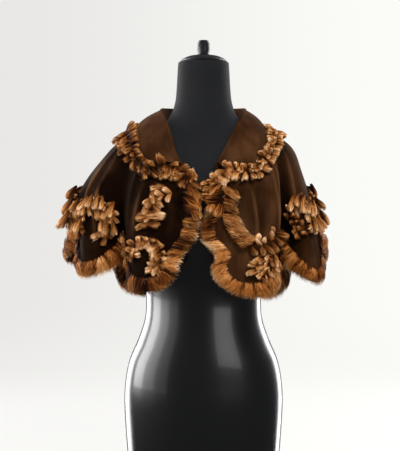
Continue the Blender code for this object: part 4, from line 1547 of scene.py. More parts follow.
@dataclass
class DressForm:
    """The limbless form: glossy torso, covered neck and shoulders, cap plate and knob."""

    sides: int = 112
    torso_rings: int = 110
    neck_rings: int = 90
    turned_sides: int = 64

    def _loft(self, sections: Sequence[FormSection], rings: int) -> tuple[np.ndarray, list[tuple[int, ...]]]:
        """A body through sections, from the bottom up.

        Args:
            sections: the sections that it passes through.
            rings: how many rings are drawn.

        Returns:
            Its points and faces.
        """
        rows = through(sections, np.linspace(0, 1, rings))
        turn = np.linspace(0, 2 * np.pi, self.sides, endpoint=False)
        depth = np.where(np.cos(turn) > 0, rows[:, 2:3], rows[:, 3:4])
        x = rows[:, 1:2] * np.sin(turn)
        y = -depth * np.cos(turn)
        z = np.broadcast_to(rows[:, 0:1], x.shape)
        return np.stack([x, y, z], axis=-1).reshape(-1, 3), loft_faces(rings, self.sides)

    def _turned(self, name: str, profile: Sequence[tuple[float, float]], foot: float) -> bpy.types.Object:
        """A body turned round the form's axis.

        Args:
            name: its name.
            profile: (radius, height) above its lowest point.
            foot: that point's height.

        Returns:
            The new object.
        """
        rows = through(profile, np.linspace(0, 1, 6 * len(profile)))
        rows[:, 0] = np.maximum(rows[:, 0], 0.00005)
        turn = np.linspace(0, 2 * np.pi, self.turned_sides, endpoint=False)
        x, y = rows[:, 0:1] * np.cos(turn), rows[:, 0:1] * np.sin(turn)
        z = np.broadcast_to(rows[:, 1:2] + foot, x.shape)
        points = np.stack([x, y, z], axis=-1).reshape(-1, 3)
        return facing_out(add_object(name, points, loft_faces(len(rows), self.turned_sides)))

    def build(self) -> None:
        """Builds the form and puts it on the frame."""
        gloss = GlossBlack().material("gloss_shell")
        jersey = Jersey().material("jersey_cover")
        satin = Plain((0.006, 0.006, 0.007), 0.42).material("satin_cap")
        for name, sections, rings, material, slot in (
            ("form_torso", TORSO_SECTIONS, self.torso_rings, gloss, Slot.GLOSS),
            ("form_neck", NECK_SECTIONS, self.neck_rings, jersey, Slot.JERSEY),
        ):
            made = facing_out(add_object(name + "_shell", *self._loft(sections, rings)))
            made.data.materials.append(material)
            dress(made, slot, name)
        for name, profile in (("neck_cap", CAP_PROFILE), ("neck_knob", KNOB_PROFILE)):
            made = self._turned(name + "_turned", profile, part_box(name)[0].z)
            made.data.materials.append(satin)
            dress(made, Slot.SATIN, name)


# The capelet's suede


class Cut(NamedTuple):
    """The flat size of a piece of suede before it was hung."""

    width: float
    length: float
    area: float


def cut_of(points: np.ndarray) -> Cut:
    """The flat size of a sheet from its grid of points.

    Args:
        points: (columns, rows, 3) points.

    Returns:
        Its largest width across, its largest length down and its area.
    """
    across = np.linalg.norm(np.diff(points, axis=0), axis=2).sum(axis=0)
    down = np.linalg.norm(np.diff(points, axis=1), axis=2).sum(axis=1)
    one = np.cross(points[1:, :-1] - points[:-1, :-1], points[:-1, 1:] - points[:-1, :-1])
    two = np.cross(points[:-1, 1:] - points[1:, 1:], points[1:, :-1] - points[1:, 1:])
    area = (np.linalg.norm(one, axis=2).sum() + np.linalg.norm(two, axis=2).sum()) / 2
    return Cut(float(across.max()), float(down.max()), float(area))


@dataclass
class Panels:
    """The suede panels with their creases.

    Attributes:
        rows: rows of faces down each panel.
        per_station: columns of faces between one station of the hem and the next.
    """

    rows: int = 84
    per_station: int = 5
    made: dict[str, bpy.types.Object] = field(default_factory=dict)
    cuts: dict[str, "Cut"] = field(default_factory=dict)

    def spans(self) -> dict[str, tuple[list[HemStation], Side]]:
        """The stations of each panel.

        Returns:
            Each panel's stations and side, by the panel's name.
        """
        hem = hem_stations()
        low, high = SIDE_SEAMS
        return {
            "front_right": (between(hem, hem[0].angle, low - 0.1), Side.RIGHT),
            "back": (between(hem, low + 0.1, high - 0.1), Side.BACK),
            "front_left": (between(hem, high + 0.1, hem[-1].angle), Side.LEFT),
        }

    def grid(self, stations: list[HemStation], side: Side) -> tuple[np.ndarray, np.ndarray]:
        """The places of a panel's grid.

        Args:
            stations: its stations along the hem.
            side: which panel.

        Returns:
            Angles and drops, a row of the array for each column of the grid.
        """
        steps = (len(stations) - 1) * self.per_station + 1
        fine = through(stations, np.linspace(0, 1, steps))
        rows = (np.arange(self.rows + 1) / self.rows) ** ROW_CLOSING
        drops = fine[:, 1:2] * rows[None, :]
        angles = np.empty_like(drops)
        for i, station in enumerate(fine):
            angles[i] = [station[0] + front_shift(side, station[0], d) for d in drops[i]]
        return angles, drops

    def build(self) -> None:
        """Builds the panels and puts them on the frame."""
        for name, (stations, side) in self.spans().items():
            angles, drops = self.grid(stations, side)
            points = DRAPE.points(angles, drops)
            made = add_object(name + "_suede", points.reshape(-1, 3), grid_faces(*angles.shape))
            # The suede stores its nap rubbing and the painted shade of its fold troughs
            worn_and_painted_light = made.data.attributes.new("wear_and_painted_shade", "FLOAT", "POINT")
            worn_and_painted_light.data.foreach_set("value", DRAPE.wear_and_painted_shade(angles, drops).ravel().astype(np.float32))
            # Each panel gets its own copy of the suede, with its own painted light or painted shade
            finish = Suede().material("suede_" + name, PANEL_PAINTED_LIGHT[name])
            thickened(made, SUEDE_WALL).data.materials.append(finish)
            self.made[name] = dress(made, Slot.SUEDE, name)
            self.cuts[name] = cut_of(points)


@dataclass
class Collar:
    """The collar: it stands from the neck seam, rolls over and lies on the shoulders."""

    fall_rows: int = 22
    stand_rows: int = 6
    grid: list[np.ndarray] = field(default_factory=list)
    made: bpy.types.Object | None = None
    cut: Cut | None = None

    def columns(self) -> list[np.ndarray]:
        """The collar from the neck seam over the roll to the outer edge.

        Returns:
            Points down each column, from the left front to the right one.
        """
        neck = CLOTH_RINGS[0]
        found = []
        for row in through(COLLAR_STATIONS, np.linspace(0, 1, COLLAR_STEPS)):
            roll, edge = row[:3].copy(), row[3:].copy()
            depth = neck.back if roll[1] > 0 else neck.front
            angle = math.degrees(math.atan2(roll[0] / neck.half_width, -roll[1] / depth))
            seam, below = PLAIN_DRAPE.points(np.array([angle, angle]), np.array([0.0, 0.03]))
            roll[2] -= SETTLED
            edge[2] -= SETTLED
            foot = seam - unit(below - seam) * SEAM_GAP + np.array([0, 0, COLLAR_FOOT_RISE])
            out = unit(np.array([edge[0] - roll[0], edge[1] - roll[1], 0]))
            up = np.array([0, 0, 1.0])
            start = roll + out * 2 * ROLL_RADIUS
            lean = unit(np.cross(edge - start, np.array([-out[1], out[0], 0])))
            lean = lean if lean[2] > 0 else -lean
            stand = [foot + (roll - foot) * s for s in np.linspace(0, 1, self.stand_rows)[:-1]]
            turn = [
                roll + out * ROLL_RADIUS * (1 - math.cos(a)) + up * ROLL_RADIUS * math.sin(a)
                for a in np.linspace(0, math.pi, ROLL_STEPS + 1)[:-1]
            ]
            fall = [
                start + (edge - start) * s + lean * COLLAR_CROWN * math.sin(math.pi * s)
                for s in np.linspace(0, 1, self.fall_rows)
            ]
            found.append(np.array(stand + turn + fall))
        return found

    def build(self, cloth: BVHTree) -> None:
        """Builds the collar so that it lies clear of the cloth.

        Args:
            cloth: the panels' middle surface.
        """
        first_fall = self.stand_rows - 1 + ROLL_STEPS
        self.grid = self.columns()
        for column in self.grid:
            for j in range(first_fall, len(column)):
                column[j] = held_off(cloth, column[j], COLLAR_LIFT)
        points = np.concatenate(self.grid)
        made = add_object("collar_suede", points, grid_faces(len(self.grid), len(self.grid[0])))
        # The collar's suede gets painted light over all of it, as it faces up to the lamps
        thickened(made, SUEDE_WALL).data.materials.append(Suede().material("collar_suede", light=1.0))
        self.made = dress(made, Slot.SUEDE, "collar")
        self.cut = cut_of(np.array(self.grid))


def held_off(tree: BVHTree, point: np.ndarray, distance: float) -> np.ndarray:
    """Moves a point off a sheet until it is clear of it.

    Args:
        tree: the sheet.
        point: the point.
        distance: how far clear it has to be.

    Returns:
        The moved point.
    """
    moved = Vector(point)
    outward = Vector((point[0] * 1.6, point[1] * 2.2, 0.11)).normalized()
    for _ in range(6):
        place, normal, _, gap = tree.find_nearest(moved)
        normal = -normal if normal.dot(outward) < 0 else normal
        height = (moved - place).dot(normal)
        if abs(height) < 0.4 * gap or height >= distance:
            break
        moved += outward * max(distance - height, 0.0001) / max(normal.dot(outward), 0.35)
    return np.array(moved)


def cloth_tree(panels: Panels) -> BVHTree:
    """A search tree over the panels' middle surface.

    Args:
        panels: the panels.

    Returns:
        The tree.
    """
    points, faces = [], []
    for made in panels.made.values():
        base = len(points)
        points += [tuple(v.co) for v in made.data.vertices]
        faces += [tuple(base + k for k in face.vertices) for face in made.data.polygons]
    return BVHTree.FromPolygons(points, faces)


# The capelet's fur

DROOP = 0.55
TUFT_SPACING = 0.86
TUFT_ROW = 0.0150
CREST_SCALE = (0.72, 0.92, 1.0, 1.0)


class CollarPile(NamedTuple):
    """How one side of the collar's fur is tufted, at a share of the way from the front to the back."""

    share: float
    length: float
    width: float
    rise: float


COLLAR_PILES = {
    Side.LEFT: [
        CollarPile(0.0, 0.0230, 0.0140, 0.3), CollarPile(0.18, 0.0230, 0.0130, 0.2),
        CollarPile(0.24, 0.0180, 0.0105, 0.1), CollarPile(0.36, 0.0180, 0.0105, 0.1),
        CollarPile(0.44, 0.0300, 0.0140, 0.6), CollarPile(0.70, 0.0340, 0.0150, 0.6),
        CollarPile(1.0, 0.0260, 0.0135, 0.3),
    ],
    Side.RIGHT: [
        CollarPile(0.0, 0.0220, 0.0140, 0.3), CollarPile(0.18, 0.0190, 0.0130, 0.3),
        CollarPile(0.28, 0.0150, 0.0128, 0.3), CollarPile(0.50, 0.0150, 0.0128, 0.3),
        CollarPile(0.60, 0.0250, 0.0135, 0.6), CollarPile(0.76, 0.0280, 0.0140, 0.6),
        CollarPile(1.0, 0.0250, 0.0135, 0.3),
    ],
}
# Painted shade on the left half of the collar's fur and painted light on its right half
COLLAR_PAINTED_LIGHT = {Side.LEFT: -0.14, Side.RIGHT: 0.10}
COLLAR_FUR_STARTS = {
    Side.LEFT: [(-4.0, 0.030), (-15.0, 0.025), (-24.0, 0.02)],
    Side.RIGHT: [(2.0, 0.03), (11.0, 0.03)],
}
COLLAR_PITCH = 0.0096

# How finely the bands, the strips and the collar's fur are divided, and how dense their hair is
BAND_STEPS = 4
EDGE_STEPS = 9
FRONT_STEPS = 26
ROUTE_STEPS = 120
CORE_STEP = 0.004
COLLAR_FUR_STEPS = 90
SMOOTHING_REACH = 4
CLUMP = 0.0065
FRONT_HAIRS_PER_MM = 15.0
HEM_HAIRS_PER_MM = 10.5
ROPE_HAIRS_PER_MM = 13.0

# Heights of the collar's fur over the cloth: at its front ends, where it is sewn, and at its outer edge
COLLAR_FUR_FRONT_HEIGHT = 0.010
COLLAR_FUR_LEAST_HEIGHT = 0.008
COLLAR_FUR_MOST_HEIGHT = 0.016
COLLAR_FUR_OUTER_HEIGHT = 0.0085


class Lining(NamedTuple):
    """A strip's line over the cloth: points, tangents, sideways and upward directions."""

    points: np.ndarray
    ways: np.ndarray
    sides: np.ndarray
    ups: np.ndarray


@dataclass
class FurTrim:
    """All the fur: long haired bands at the edges, tufted strips on the suede and collar."""

    barber: Barber
    panels: Panels
    collar: Collar
    band_section: tuple[tuple[float, float], ...] = (
        (0.00, 0.14), (0.30, 0.46), (0.60, 0.46), (0.82, 0.05), (0.60, -0.40), (0.30, -0.42), (0.00, -0.16),
    )
    made: dict[str, bpy.types.Object] = field(default_factory=dict)

    def _grown(self, name: str, kind: str, coat: Coat, core: Body, fur: bpy.types.Material) -> None:
        """Adds a fur piece, with its hairs and the body under them, to the frame."""
        self.made[name] = dress(fur_object(f"{name}_{kind}", coat, core, fur), Slot.FUR, name)

    def _core(self, stations: np.ndarray, bases: np.ndarray, height: float) -> Body:
        """The body under the hair of a band.

        Args:
            stations: rows of angle, drop, fur angle and fur drop.
            bases: heights over the cloth at both edges of the band.
            height: the band's height over those.

        Returns:
            Its points and faces.
        """
        rings = []
        for across, up in self.band_section:
            angles = stations[:, 0] + (stations[:, 2] - stations[:, 0]) * across
            drops = stations[:, 1] + (stations[:, 3] - stations[:, 1]) * across
            over = bases[:, 0] + (bases[:, 1] - bases[:, 0]) * across + height * up
            normals = PLAIN_DRAPE.normals(angles, drops)
            rings.append(PLAIN_DRAPE.points(angles, drops) + normals * over[:, None])
        points = np.stack(rings, axis=1)
        middle = points.mean(axis=1, keepdims=True)
        for end in (0, -1):
            points[end] = middle[end] + (points[end] - middle[end]) * 0.5
        return points.reshape(-1, 3), loft_faces(len(stations), len(self.band_section))

    def _fine(self, stations: Sequence[Sequence[float]], per_station: int) -> np.ndarray:
        """Finer stations, whose first edge is moved off the suede by the width of the seam.

        Args:
            stations: rows of angle, drop, fur angle and fur drop.
            per_station: steps between two of them.

        Returns:
            The finer rows.
        """
        fine = through(stations, np.linspace(0, 1, (len(stations) - 1) * per_station + 1))
        reach = np.linalg.norm(
            PLAIN_DRAPE.points(fine[:, 2], fine[:, 3]) - PLAIN_DRAPE.points(fine[:, 0], fine[:, 1]), axis=1
        )
        share = (FUR_SEAM / np.maximum(reach, 0.004))[:, None]
        fine[:, :2] += (fine[:, 2:4] - fine[:, :2]) * share
        return fine

    def _band_piece(
        self, name: str, stations: Sequence[HemStation], fur: bpy.types.Material, per_mm: float
    ) -> None:
        """One long haired band.

        Args:
            name: the CAD node that it stands for.
            stations: its stations.
            fur: its material.
            per_mm: hairs for each millimetre of its length.
        """
        fine = self._fine(stations, BAND_STEPS)
        coat = self.barber.band(fine, BAND_HEIGHT, per_mm, CLUMP)
        # Each band's painted light or painted shade goes into its tones
        coat = coat._replace(tones=np.clip(coat.tones + BAND_PAINTED_LIGHT.get(name, 0.0), 0.1, 1))
        if name.startswith("front_fur"):
            coat = joined([coat, self._blobs(fine)])
        core = self._core(fine, np.zeros((len(fine), 2)), BAND_HEIGHT)
        self._grown(name, "hair", coat, core, fur)

    def _blobs(self, stations: np.ndarray) -> Coat:
        """Round tufts over the top of a front band, where it meets the collar.

        Args:
            stations: the band's stations.

        Returns:
            The tufts' hairs.
        """
        rng = self.barber.rng
        rows = stations[stations[:, 1] < BLOBS_DOWN_TO]
        inner = PLAIN_DRAPE.points(rows[:, 0], rows[:, 1])
        outer = PLAIN_DRAPE.points(rows[:, 2], rows[:, 3])
        ups = PLAIN_DRAPE.normals(rows[:, 0], rows[:, 1])
        lengths = lengths_along(inner)
        coats = []
        for row, share in enumerate((0.10, 0.55)):
            at = np.arange(0.003 + 0.006 * row, lengths[-1], 0.0135)
            near, far, up = (read_along(values, lengths, at) for values in (inner, outer, ups))
            way = unit(far - near)
            lean = 0.5 * bunched(rng, len(at), 2) + rng.normal(0, 0.3, len(at))
            ways = way * np.array([[0.9]]) + np.array([0.0, 0.0, -0.75])
            ways = ways + np.cross(way, up) * lean[:, None] + up * 0.2
            sizes = np.array([BLOB_SIZE]) * rng.uniform(0.85, 1.15, (len(at), 1))
            roots = near + (far - near) * share + up * 0.014 - unit(ways) * 0.010
            coats.append(self.barber.tufts(roots, ways, up, sizes, rng.normal(-0.17, 0.08, len(at))))
        return joined(coats)

    def hem(self, fur: bpy.types.Material) -> None:
        """The long haired bands round the hem and down the front edges.

        Args:
            fur: their material.
        """
        for name, (stations, side) in self.panels.spans().items():
            shifted = []
            for s in stations:
                shift = front_shift(side, s.angle, s.drop)
                shifted.append(HemStation(s.angle + shift, s.drop, s.fur_angle + shift, s.fur_drop))
            if side is not Side.BACK:
                top = shifted[0].drop if side is Side.RIGHT else shifted[-1].drop
                edge = front_stations(side, FRONT_FUR_SPLIT, top - EDGE_CLEAR, EDGE_STEPS)
                shifted = edge + shifted if side is Side.RIGHT else shifted + edge[::-1]
                front = front_stations(side, FRONT_FUR_TOP, FRONT_FUR_SPLIT, FRONT_STEPS)
                self._band_piece("front_fur_" + name.removeprefix("front_"), front, fur, FRONT_HAIRS_PER_MM)
            self._band_piece("hem_fur_" + name.removeprefix("front_"), shifted, fur, HEM_HAIRS_PER_MM)

    def _line(self, route: Sequence[tuple[float, float]], step: float, phase: float = 0.5) -> Lining:
        """A strip's line over the cloth.

        Args:
            route: (angle, drop) places on its way.
            step: metres from one point to the next.
            phase: where the first point is, from 0 to 1 within a step.

        Returns:
            The line.
        """
        fine = through(route, np.linspace(0, 1, ROUTE_STEPS))
        points = DRAPE.points(fine[:, 0], fine[:, 1])
        lengths = lengths_along(points)
        at = np.arange(step * (0.2 + 0.6 * phase), lengths[-1], step)
        angles, drops = np.interp(at, lengths, fine[:, 0]), np.interp(at, lengths, fine[:, 1])
        line = DRAPE.points(angles, drops)
        ups = PLAIN_DRAPE.normals(angles, drops)
        ways = unit(np.gradient(line, axis=0))
        return Lining(line, ways, unit(np.cross(ways, ups)), ups)

    def _strip_core(self, line: Lining, width: float, height: float) -> Body:
        """The body under the hair of a strip.

        Args:
            line: the strip's line.
            width: of the strip.
            height: of the strip.

        Returns:
            Its points and faces.
        """
        section = [(-0.36, 0.10), (0.0, 0.06), (0.36, 0.10), (0.32, 0.36), (0.0, 0.50), (-0.32, 0.36)]
        rings = [
            line.points + line.sides * (across * width) + line.ups * (0.0012 + up * height)
            for across, up in section
        ]
        return np.stack(rings, axis=1).reshape(-1, 3), loft_faces(len(line.points), len(section))

    def _row(self, line: Lining, offset: float, side: float, rise: float, piles: np.ndarray) -> Coat:
        """A row of tufts along a line, in bunches that lean the same way.

        Args:
            line: the strip's line.
            offset: metres to its side where the tufts' middles are.
            side: 1 or -1, the side to which they turn.
            rise: metres over the cloth.
            piles: rows of length, width, turn and chance at each point of the line.

        Returns:
            The hairs.
        """
        rng, count = self.barber.rng, len(line.points)
        lean = bunched(rng, count) * 0.9 + rng.normal(0, 0.45, count)
        turns = np.radians(piles[:, 2] * side + piles[:, 3] * lean)
        ways = line.ways * np.cos(turns)[:, None] + line.sides * np.sin(turns)[:, None]
        down = np.array([0, 0, -1.0]) - line.ups * (-line.ups[:, 2:3])
        ways = unit(ways + down * DROOP + line.ups * rng.uniform(-0.05, 0.30, count)[:, None])
        scale = (1 + 0.13 * bunched(rng, count) + rng.normal(0, 0.08, count)).clip(0.68, 1.30)[:, None]
        sizes = piles[:, :2] * scale
        middles = line.points + line.sides * (offset + rng.normal(0, 0.0016, count))[:, None]
        middles += line.ways * rng.normal(0, 0.0014, count)[:, None] + line.ups * rise
        tones = 0.08 * bunched(rng, count) + rng.normal(-0.02, 0.10, count)
        return self.barber.tufts(middles - ways * sizes[:, :1] * 0.48, ways, line.ups, sizes, tones)

    def _bunches(self, name: str, route: Sequence[tuple[float, float]]) -> Coat:
        """Bunches of tufts that hang side by side, one bunch after another along a strip.

        Args:
            name: the strip's name.
            route: (angle, drop) places on its way.

        Returns:
            The tufts' hairs.
        """
        rng, line = self.barber.rng, self._line(route, BUNCH_STEP, 0.3)
        roots, ways, ups, sizes, tones = [], [], [], [], []
        kept = np.linspace(0, 1, len(line.points)) >= BUNCH_FROM.get(name, 0.0)
        for middle, up in zip(line.points[kept], line.ups[kept]):
            level = unit(np.cross([0.0, 0.0, 1.0], up))
            down = unit(np.array([0.0, 0.0, -1.0]) + up * up[2])
            count = int(rng.integers(3, 5))
            tilt, tone, size = rng.normal(0, 0.30), rng.normal(0, 0.05), rng.uniform(0.86, 1.10)
            for k in range(count):
                off = k - (count - 1) / 2
                lean = 0.16 * off + tilt + rng.normal(0, 0.10)
                way = down + level * lean + up * rng.uniform(0.18, 0.55)
                above = 0.017 * size + rng.normal(0, 0.003)
                roots.append(middle + level * (off * BUNCH_PITCH) - down * above + up * 0.004)
                ways.append(way)
                ups.append(up)
                sizes.append(np.array(BUNCH_SIZE) * size * rng.uniform(0.88, 1.10, 2))
                tones.append(tone + rng.normal(0, 0.06))
        return self.barber.tufts(*(np.array(values) for values in (roots, ways, ups, sizes, tones)))

    def _rope(self, route: Sequence[tuple[float, float]], width: float) -> Coat:
        """Hair combed over a strip like a rope, from its upper edge to its lower one.

        Args:
            route: (angle, drop) places on its way.
            width: of the strip.

        Returns:
            The hairs.
        """
        line = self._line(route, CORE_STEP, 0.0)
        line = Lining(*(values[: int(len(values) * ROPE_END)] for values in line))
        side = np.ones(len(line.points))
        edges = []
        for sense in (1, -1):
            edge = line.points + line.sides * (sense * width * 0.50) + line.ways * (sense * -0.006)
            edges.append(cloth_place(edge, side))
        return self.barber.band(np.concatenate(edges, axis=1), ROPE_HEIGHT, ROPE_HAIRS_PER_MM, CLUMP)

    def _tufted(self, name: str, route: Sequence[tuple[float, float]], width: float) -> Coat:
        """Rows of tufts side by side over the width of a strip, the outer ones turned outward.

        Args:
            name: the strip's name.
            route: (angle, drop) places on its way.
            width: of the strip.

        Returns:
            The tufts' hairs.
        """
        kind = PILE_OF.get(name, Tufting.FILLER)
        table = PILES[kind]
        step = float(np.mean([pile.width for pile in table])) * TUFT_SPACING
        rows = max(2, round(width / TUFT_ROWS.get(kind, TUFT_ROW)))
        coats = [self._bunches(name, route)] if kind is Tufting.FILLER or name in BUNCH_FROM else []
        if kind is Tufting.ROPE:
            coats.append(self._rope(route, width))
        for row in range(rows):
            share = (row + 0.5) / rows * 2 - 1
            line = self._line(route, step, row * 0.5)
            places = np.linspace(0, 1, len(line.points))
            if kind is Tufting.ROPE:
                kept = (places < ROPE_START) | (places > ROPE_END)
                line, places = Lining(*(values[kept] for values in line)), places[kept]
            piles = table_at(table, places)
            coats.append(self._row(line, share * width / 2, np.sign(share or 1), 0.001, piles))
        if kind is Tufting.ROPE:
            return joined(coats)
        crest = self._line(route, step * 1.2, 0.25)
        piles = table_at(table, np.linspace(0, 1, len(crest.points))) * CREST_SCALE
        coats.append(self._row(crest, 0.0, 1.0, 0.0045, piles))
        return joined(coats)

    def strips(self, fur: bpy.types.Material) -> None:
        """The tufted strips that lie on the suede.

        Args:
            fur: their material.
        """
        strips = dict(STRIPS)
        for tab in TABS:
            if tab.name in ARCHED:
                arch = ARCHED[tab.name]
                strips["loops_" + tab.name] = Strip(arch.width, arch_route(tab, arch))
        for name, strip in strips.items():
            coat = self._tufted(name, strip.route, strip.width)
            core = self._strip_core(self._line(strip.route, CORE_STEP), strip.width, LOOP_HEIGHT)
            self._grown(name, "tufts", coat, core, fur)

    def _collar_stations(self, side: Side) -> tuple[np.ndarray, np.ndarray]:
        """Stations of the fur along half of the collar's outer edge, from its front.

        Args:
            side: which half.

        Returns:
            Rows of angle, drop, fur angle and fur drop, and the heights over the cloth.
        """
        columns = self.collar.grid if side is Side.LEFT else self.collar.grid[::-1]
        half = columns[: len(columns) // 2 + 1]
        fall = half[0][-self.collar.fall_rows + 4 : -1]
        edge = np.concatenate([fall, np.array([column[-1] for column in half])])
        sign = float(side.value)
        places = cloth_place(edge, np.full(len(edge), sign))
        heights = np.linalg.norm(edge - PLAIN_DRAPE.points(places[:, 0], places[:, 1]), axis=1)
        starts = np.array(COLLAR_FUR_STARTS[side])
        places = np.concatenate([starts, places])
        heights = np.concatenate([np.full(len(starts), COLLAR_FUR_FRONT_HEIGHT), heights])
        lengths = lengths_along(PLAIN_DRAPE.points(places[:, 0], places[:, 1]))
        at = np.linspace(0, lengths[-1] - 0.003, COLLAR_FUR_STEPS)
        kernel = np.hanning(2 * SMOOTHING_REACH + 3)[1:-1]
        kernel /= kernel.sum()
        smooth = [np.interp(at, lengths, column) for column in (places[:, 0], places[:, 1], heights)]
        for column in smooth:
            column[SMOOTHING_REACH:-SMOOTHING_REACH] = np.convolve(column, kernel, "valid")
        angles, drops, heights = smooth
        here = PLAIN_DRAPE.points(angles, drops)
        out = unit(np.cross(unit(np.gradient(here, axis=0)), PLAIN_DRAPE.normals(angles, drops))) * sign
        near = cloth_place(here + out * 0.003, np.full(len(here), sign))
        far = cloth_place(here + out * COLLAR_FUR_WIDTH, np.full(len(here), sign))
        sewn = np.clip(heights, COLLAR_FUR_LEAST_HEIGHT, COLLAR_FUR_MOST_HEIGHT)
        bases = np.stack([sewn, np.full(len(sewn), COLLAR_FUR_OUTER_HEIGHT)], axis=1)
        return np.concatenate([near, far], axis=1), bases

    def collar_fur(self, fur: bpy.types.Material) -> None:
        """The tufted fur round the collar's outer edge.

        Args:
            fur: its material.
        """
        rng = self.barber.rng
        for side in (Side.LEFT, Side.RIGHT):
            stations, bases = self._collar_stations(side)
            name = "collar_fur_" + side.name.lower()
            inner = PLAIN_DRAPE.points(stations[:, 0], stations[:, 1])
            ups = PLAIN_DRAPE.normals(stations[:, 0], stations[:, 1])
            outer = PLAIN_DRAPE.points(stations[:, 2], stations[:, 3])
            lengths = lengths_along(inner)
            coats = []
            for row, (share, turned) in enumerate(((0.06, 1.0), (0.44, 1.0), (0.22, -0.7))):
                at = np.arange(0.004 + 0.003 * row, lengths[-1], COLLAR_PITCH)
                start, end, up, base = (
                    read_along(values, lengths, at) for values in (inner, outer, ups, bases)
                )
                piles = table_at(COLLAR_PILES[side], at / lengths[-1])
                way = unit(end - start)
                along = unit(np.gradient(start, axis=0))
                lean = 0.40 * bunched(rng, len(at)) + rng.normal(0, 0.22, len(at))
                lifted = up * (rng.uniform(0, 1, len(at)) * piles[:, 2])[:, None]
                ways = unit(way * turned + along * lean[:, None] + lifted)
                height = base[:, :1] * (1 - share) + base[:, 1:] * share
                ways[:, 2] -= 0.25
                roots = start + (end - start) * share + up * (height - 0.003)
                scale = 1 + 0.12 * bunched(rng, len(at)) + rng.normal(0, 0.08, len(at))
                scale = scale.clip(0.7, 1.3)[:, None]
                # Each half's painted light or painted shade goes into its tufts' tones
                tones = 0.05 * bunched(rng, len(at)) + rng.normal(COLLAR_PAINTED_LIGHT[side], 0.08, len(at))
                coats.append(self.barber.tufts(roots, ways, up, piles[:, :2] * scale, tones))
            core = self._core(stations, bases - 0.004, 0.007)
            self._grown(name, "tufts", joined(coats), core, fur)

    def build(self) -> None:
        """Grows all the fur."""
        self.hem(Fur().material("fur_long"))
        tufted = Fur(red=(0.1650, 0.0480, 0.0090), gold=(0.4400, 0.1880, 0.0540)).material("fur_tufted")
        self.strips(tufted)
        self.collar_fur(tufted)


# The closure under the collar


@dataclass
class Closure:
    """The fastening: two dark plaited cords, one over the other."""

    strand: float = 0.0011
    swing: float = 0.0013
    turns: float = 3.5
    steps: int = 60
    apart: float = 0.0048

    def build(self) -> None:
        """Builds the cords inside the CAD bar's box and puts them on the frame."""
        low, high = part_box("closure")
        middle = (Vector(low) + Vector(high)) / 2
        data = bpy.data.curves.new("closure_cords", "CURVE")
        data.dimensions = "3D"
        data.bevel_depth = self.strand
        data.bevel_resolution = 3
        data.use_fill_caps = True
        for level in (-self.apart / 2, self.apart / 2):
            for phase in (0, 2 * math.pi / 3, 4 * math.pi / 3):
                spline = data.splines.new("POLY")
                spline.points.add(self.steps)
                for k, point in enumerate(spline.points):
                    share = k / self.steps
                    turn = phase + share * self.turns * 2 * math.pi
                    x = low[0] + self.strand + (high[0] - low[0] - 2 * self.strand) * share
                    y = middle.y + self.swing * 0.5 * math.cos(turn)
                    point.co = (x, y, middle.z + level + self.swing * math.sin(turn), 1)
        made = shown("closure_cords", data)
        data.materials.append(Plain((0.010, 0.011, 0.007), 0.8, 300.0).material("braid"))
        dress(made, Slot.BRAID, "closure")


def declare_sheets(panels: Panels, collar: Collar, trim: FurTrim) -> None:
    """Writes the flat cut of each suede piece to the log.

    Args:
        panels: the three panels of the cape.
        collar: its collar.
        trim: all its fur.
    """
    sides = {
        "front_left": [
            "front_fur_left", "hem_fur_left", "loops_front_left", "loops_1_left", "loops_front_2_left",
        ],
        "front_right": [
            "front_fur_right", "hem_fur_right", "loops_front_right", "loops_1_right",
            "loops_front_2_right",
        ],
        "back": [
            "hem_fur_back", "loops_back_1_left", "loops_back_centre", "loops_back_1_right", "loops_side_left",
            "loops_side_right",
        ],
    }
    for name, furs in sides.items():
        cut = panels.cuts[name]
    furs = [trim.made["collar_fur_left"], trim.made["collar_fur_right"]]
    cut = collar.cut
    for name, cut in (*panels.cuts.items(), ("collar", collar.cut)):
        LOG.info("%s: cut %.3f x %.3f m, %.4f m2", name, *cut)


# The room


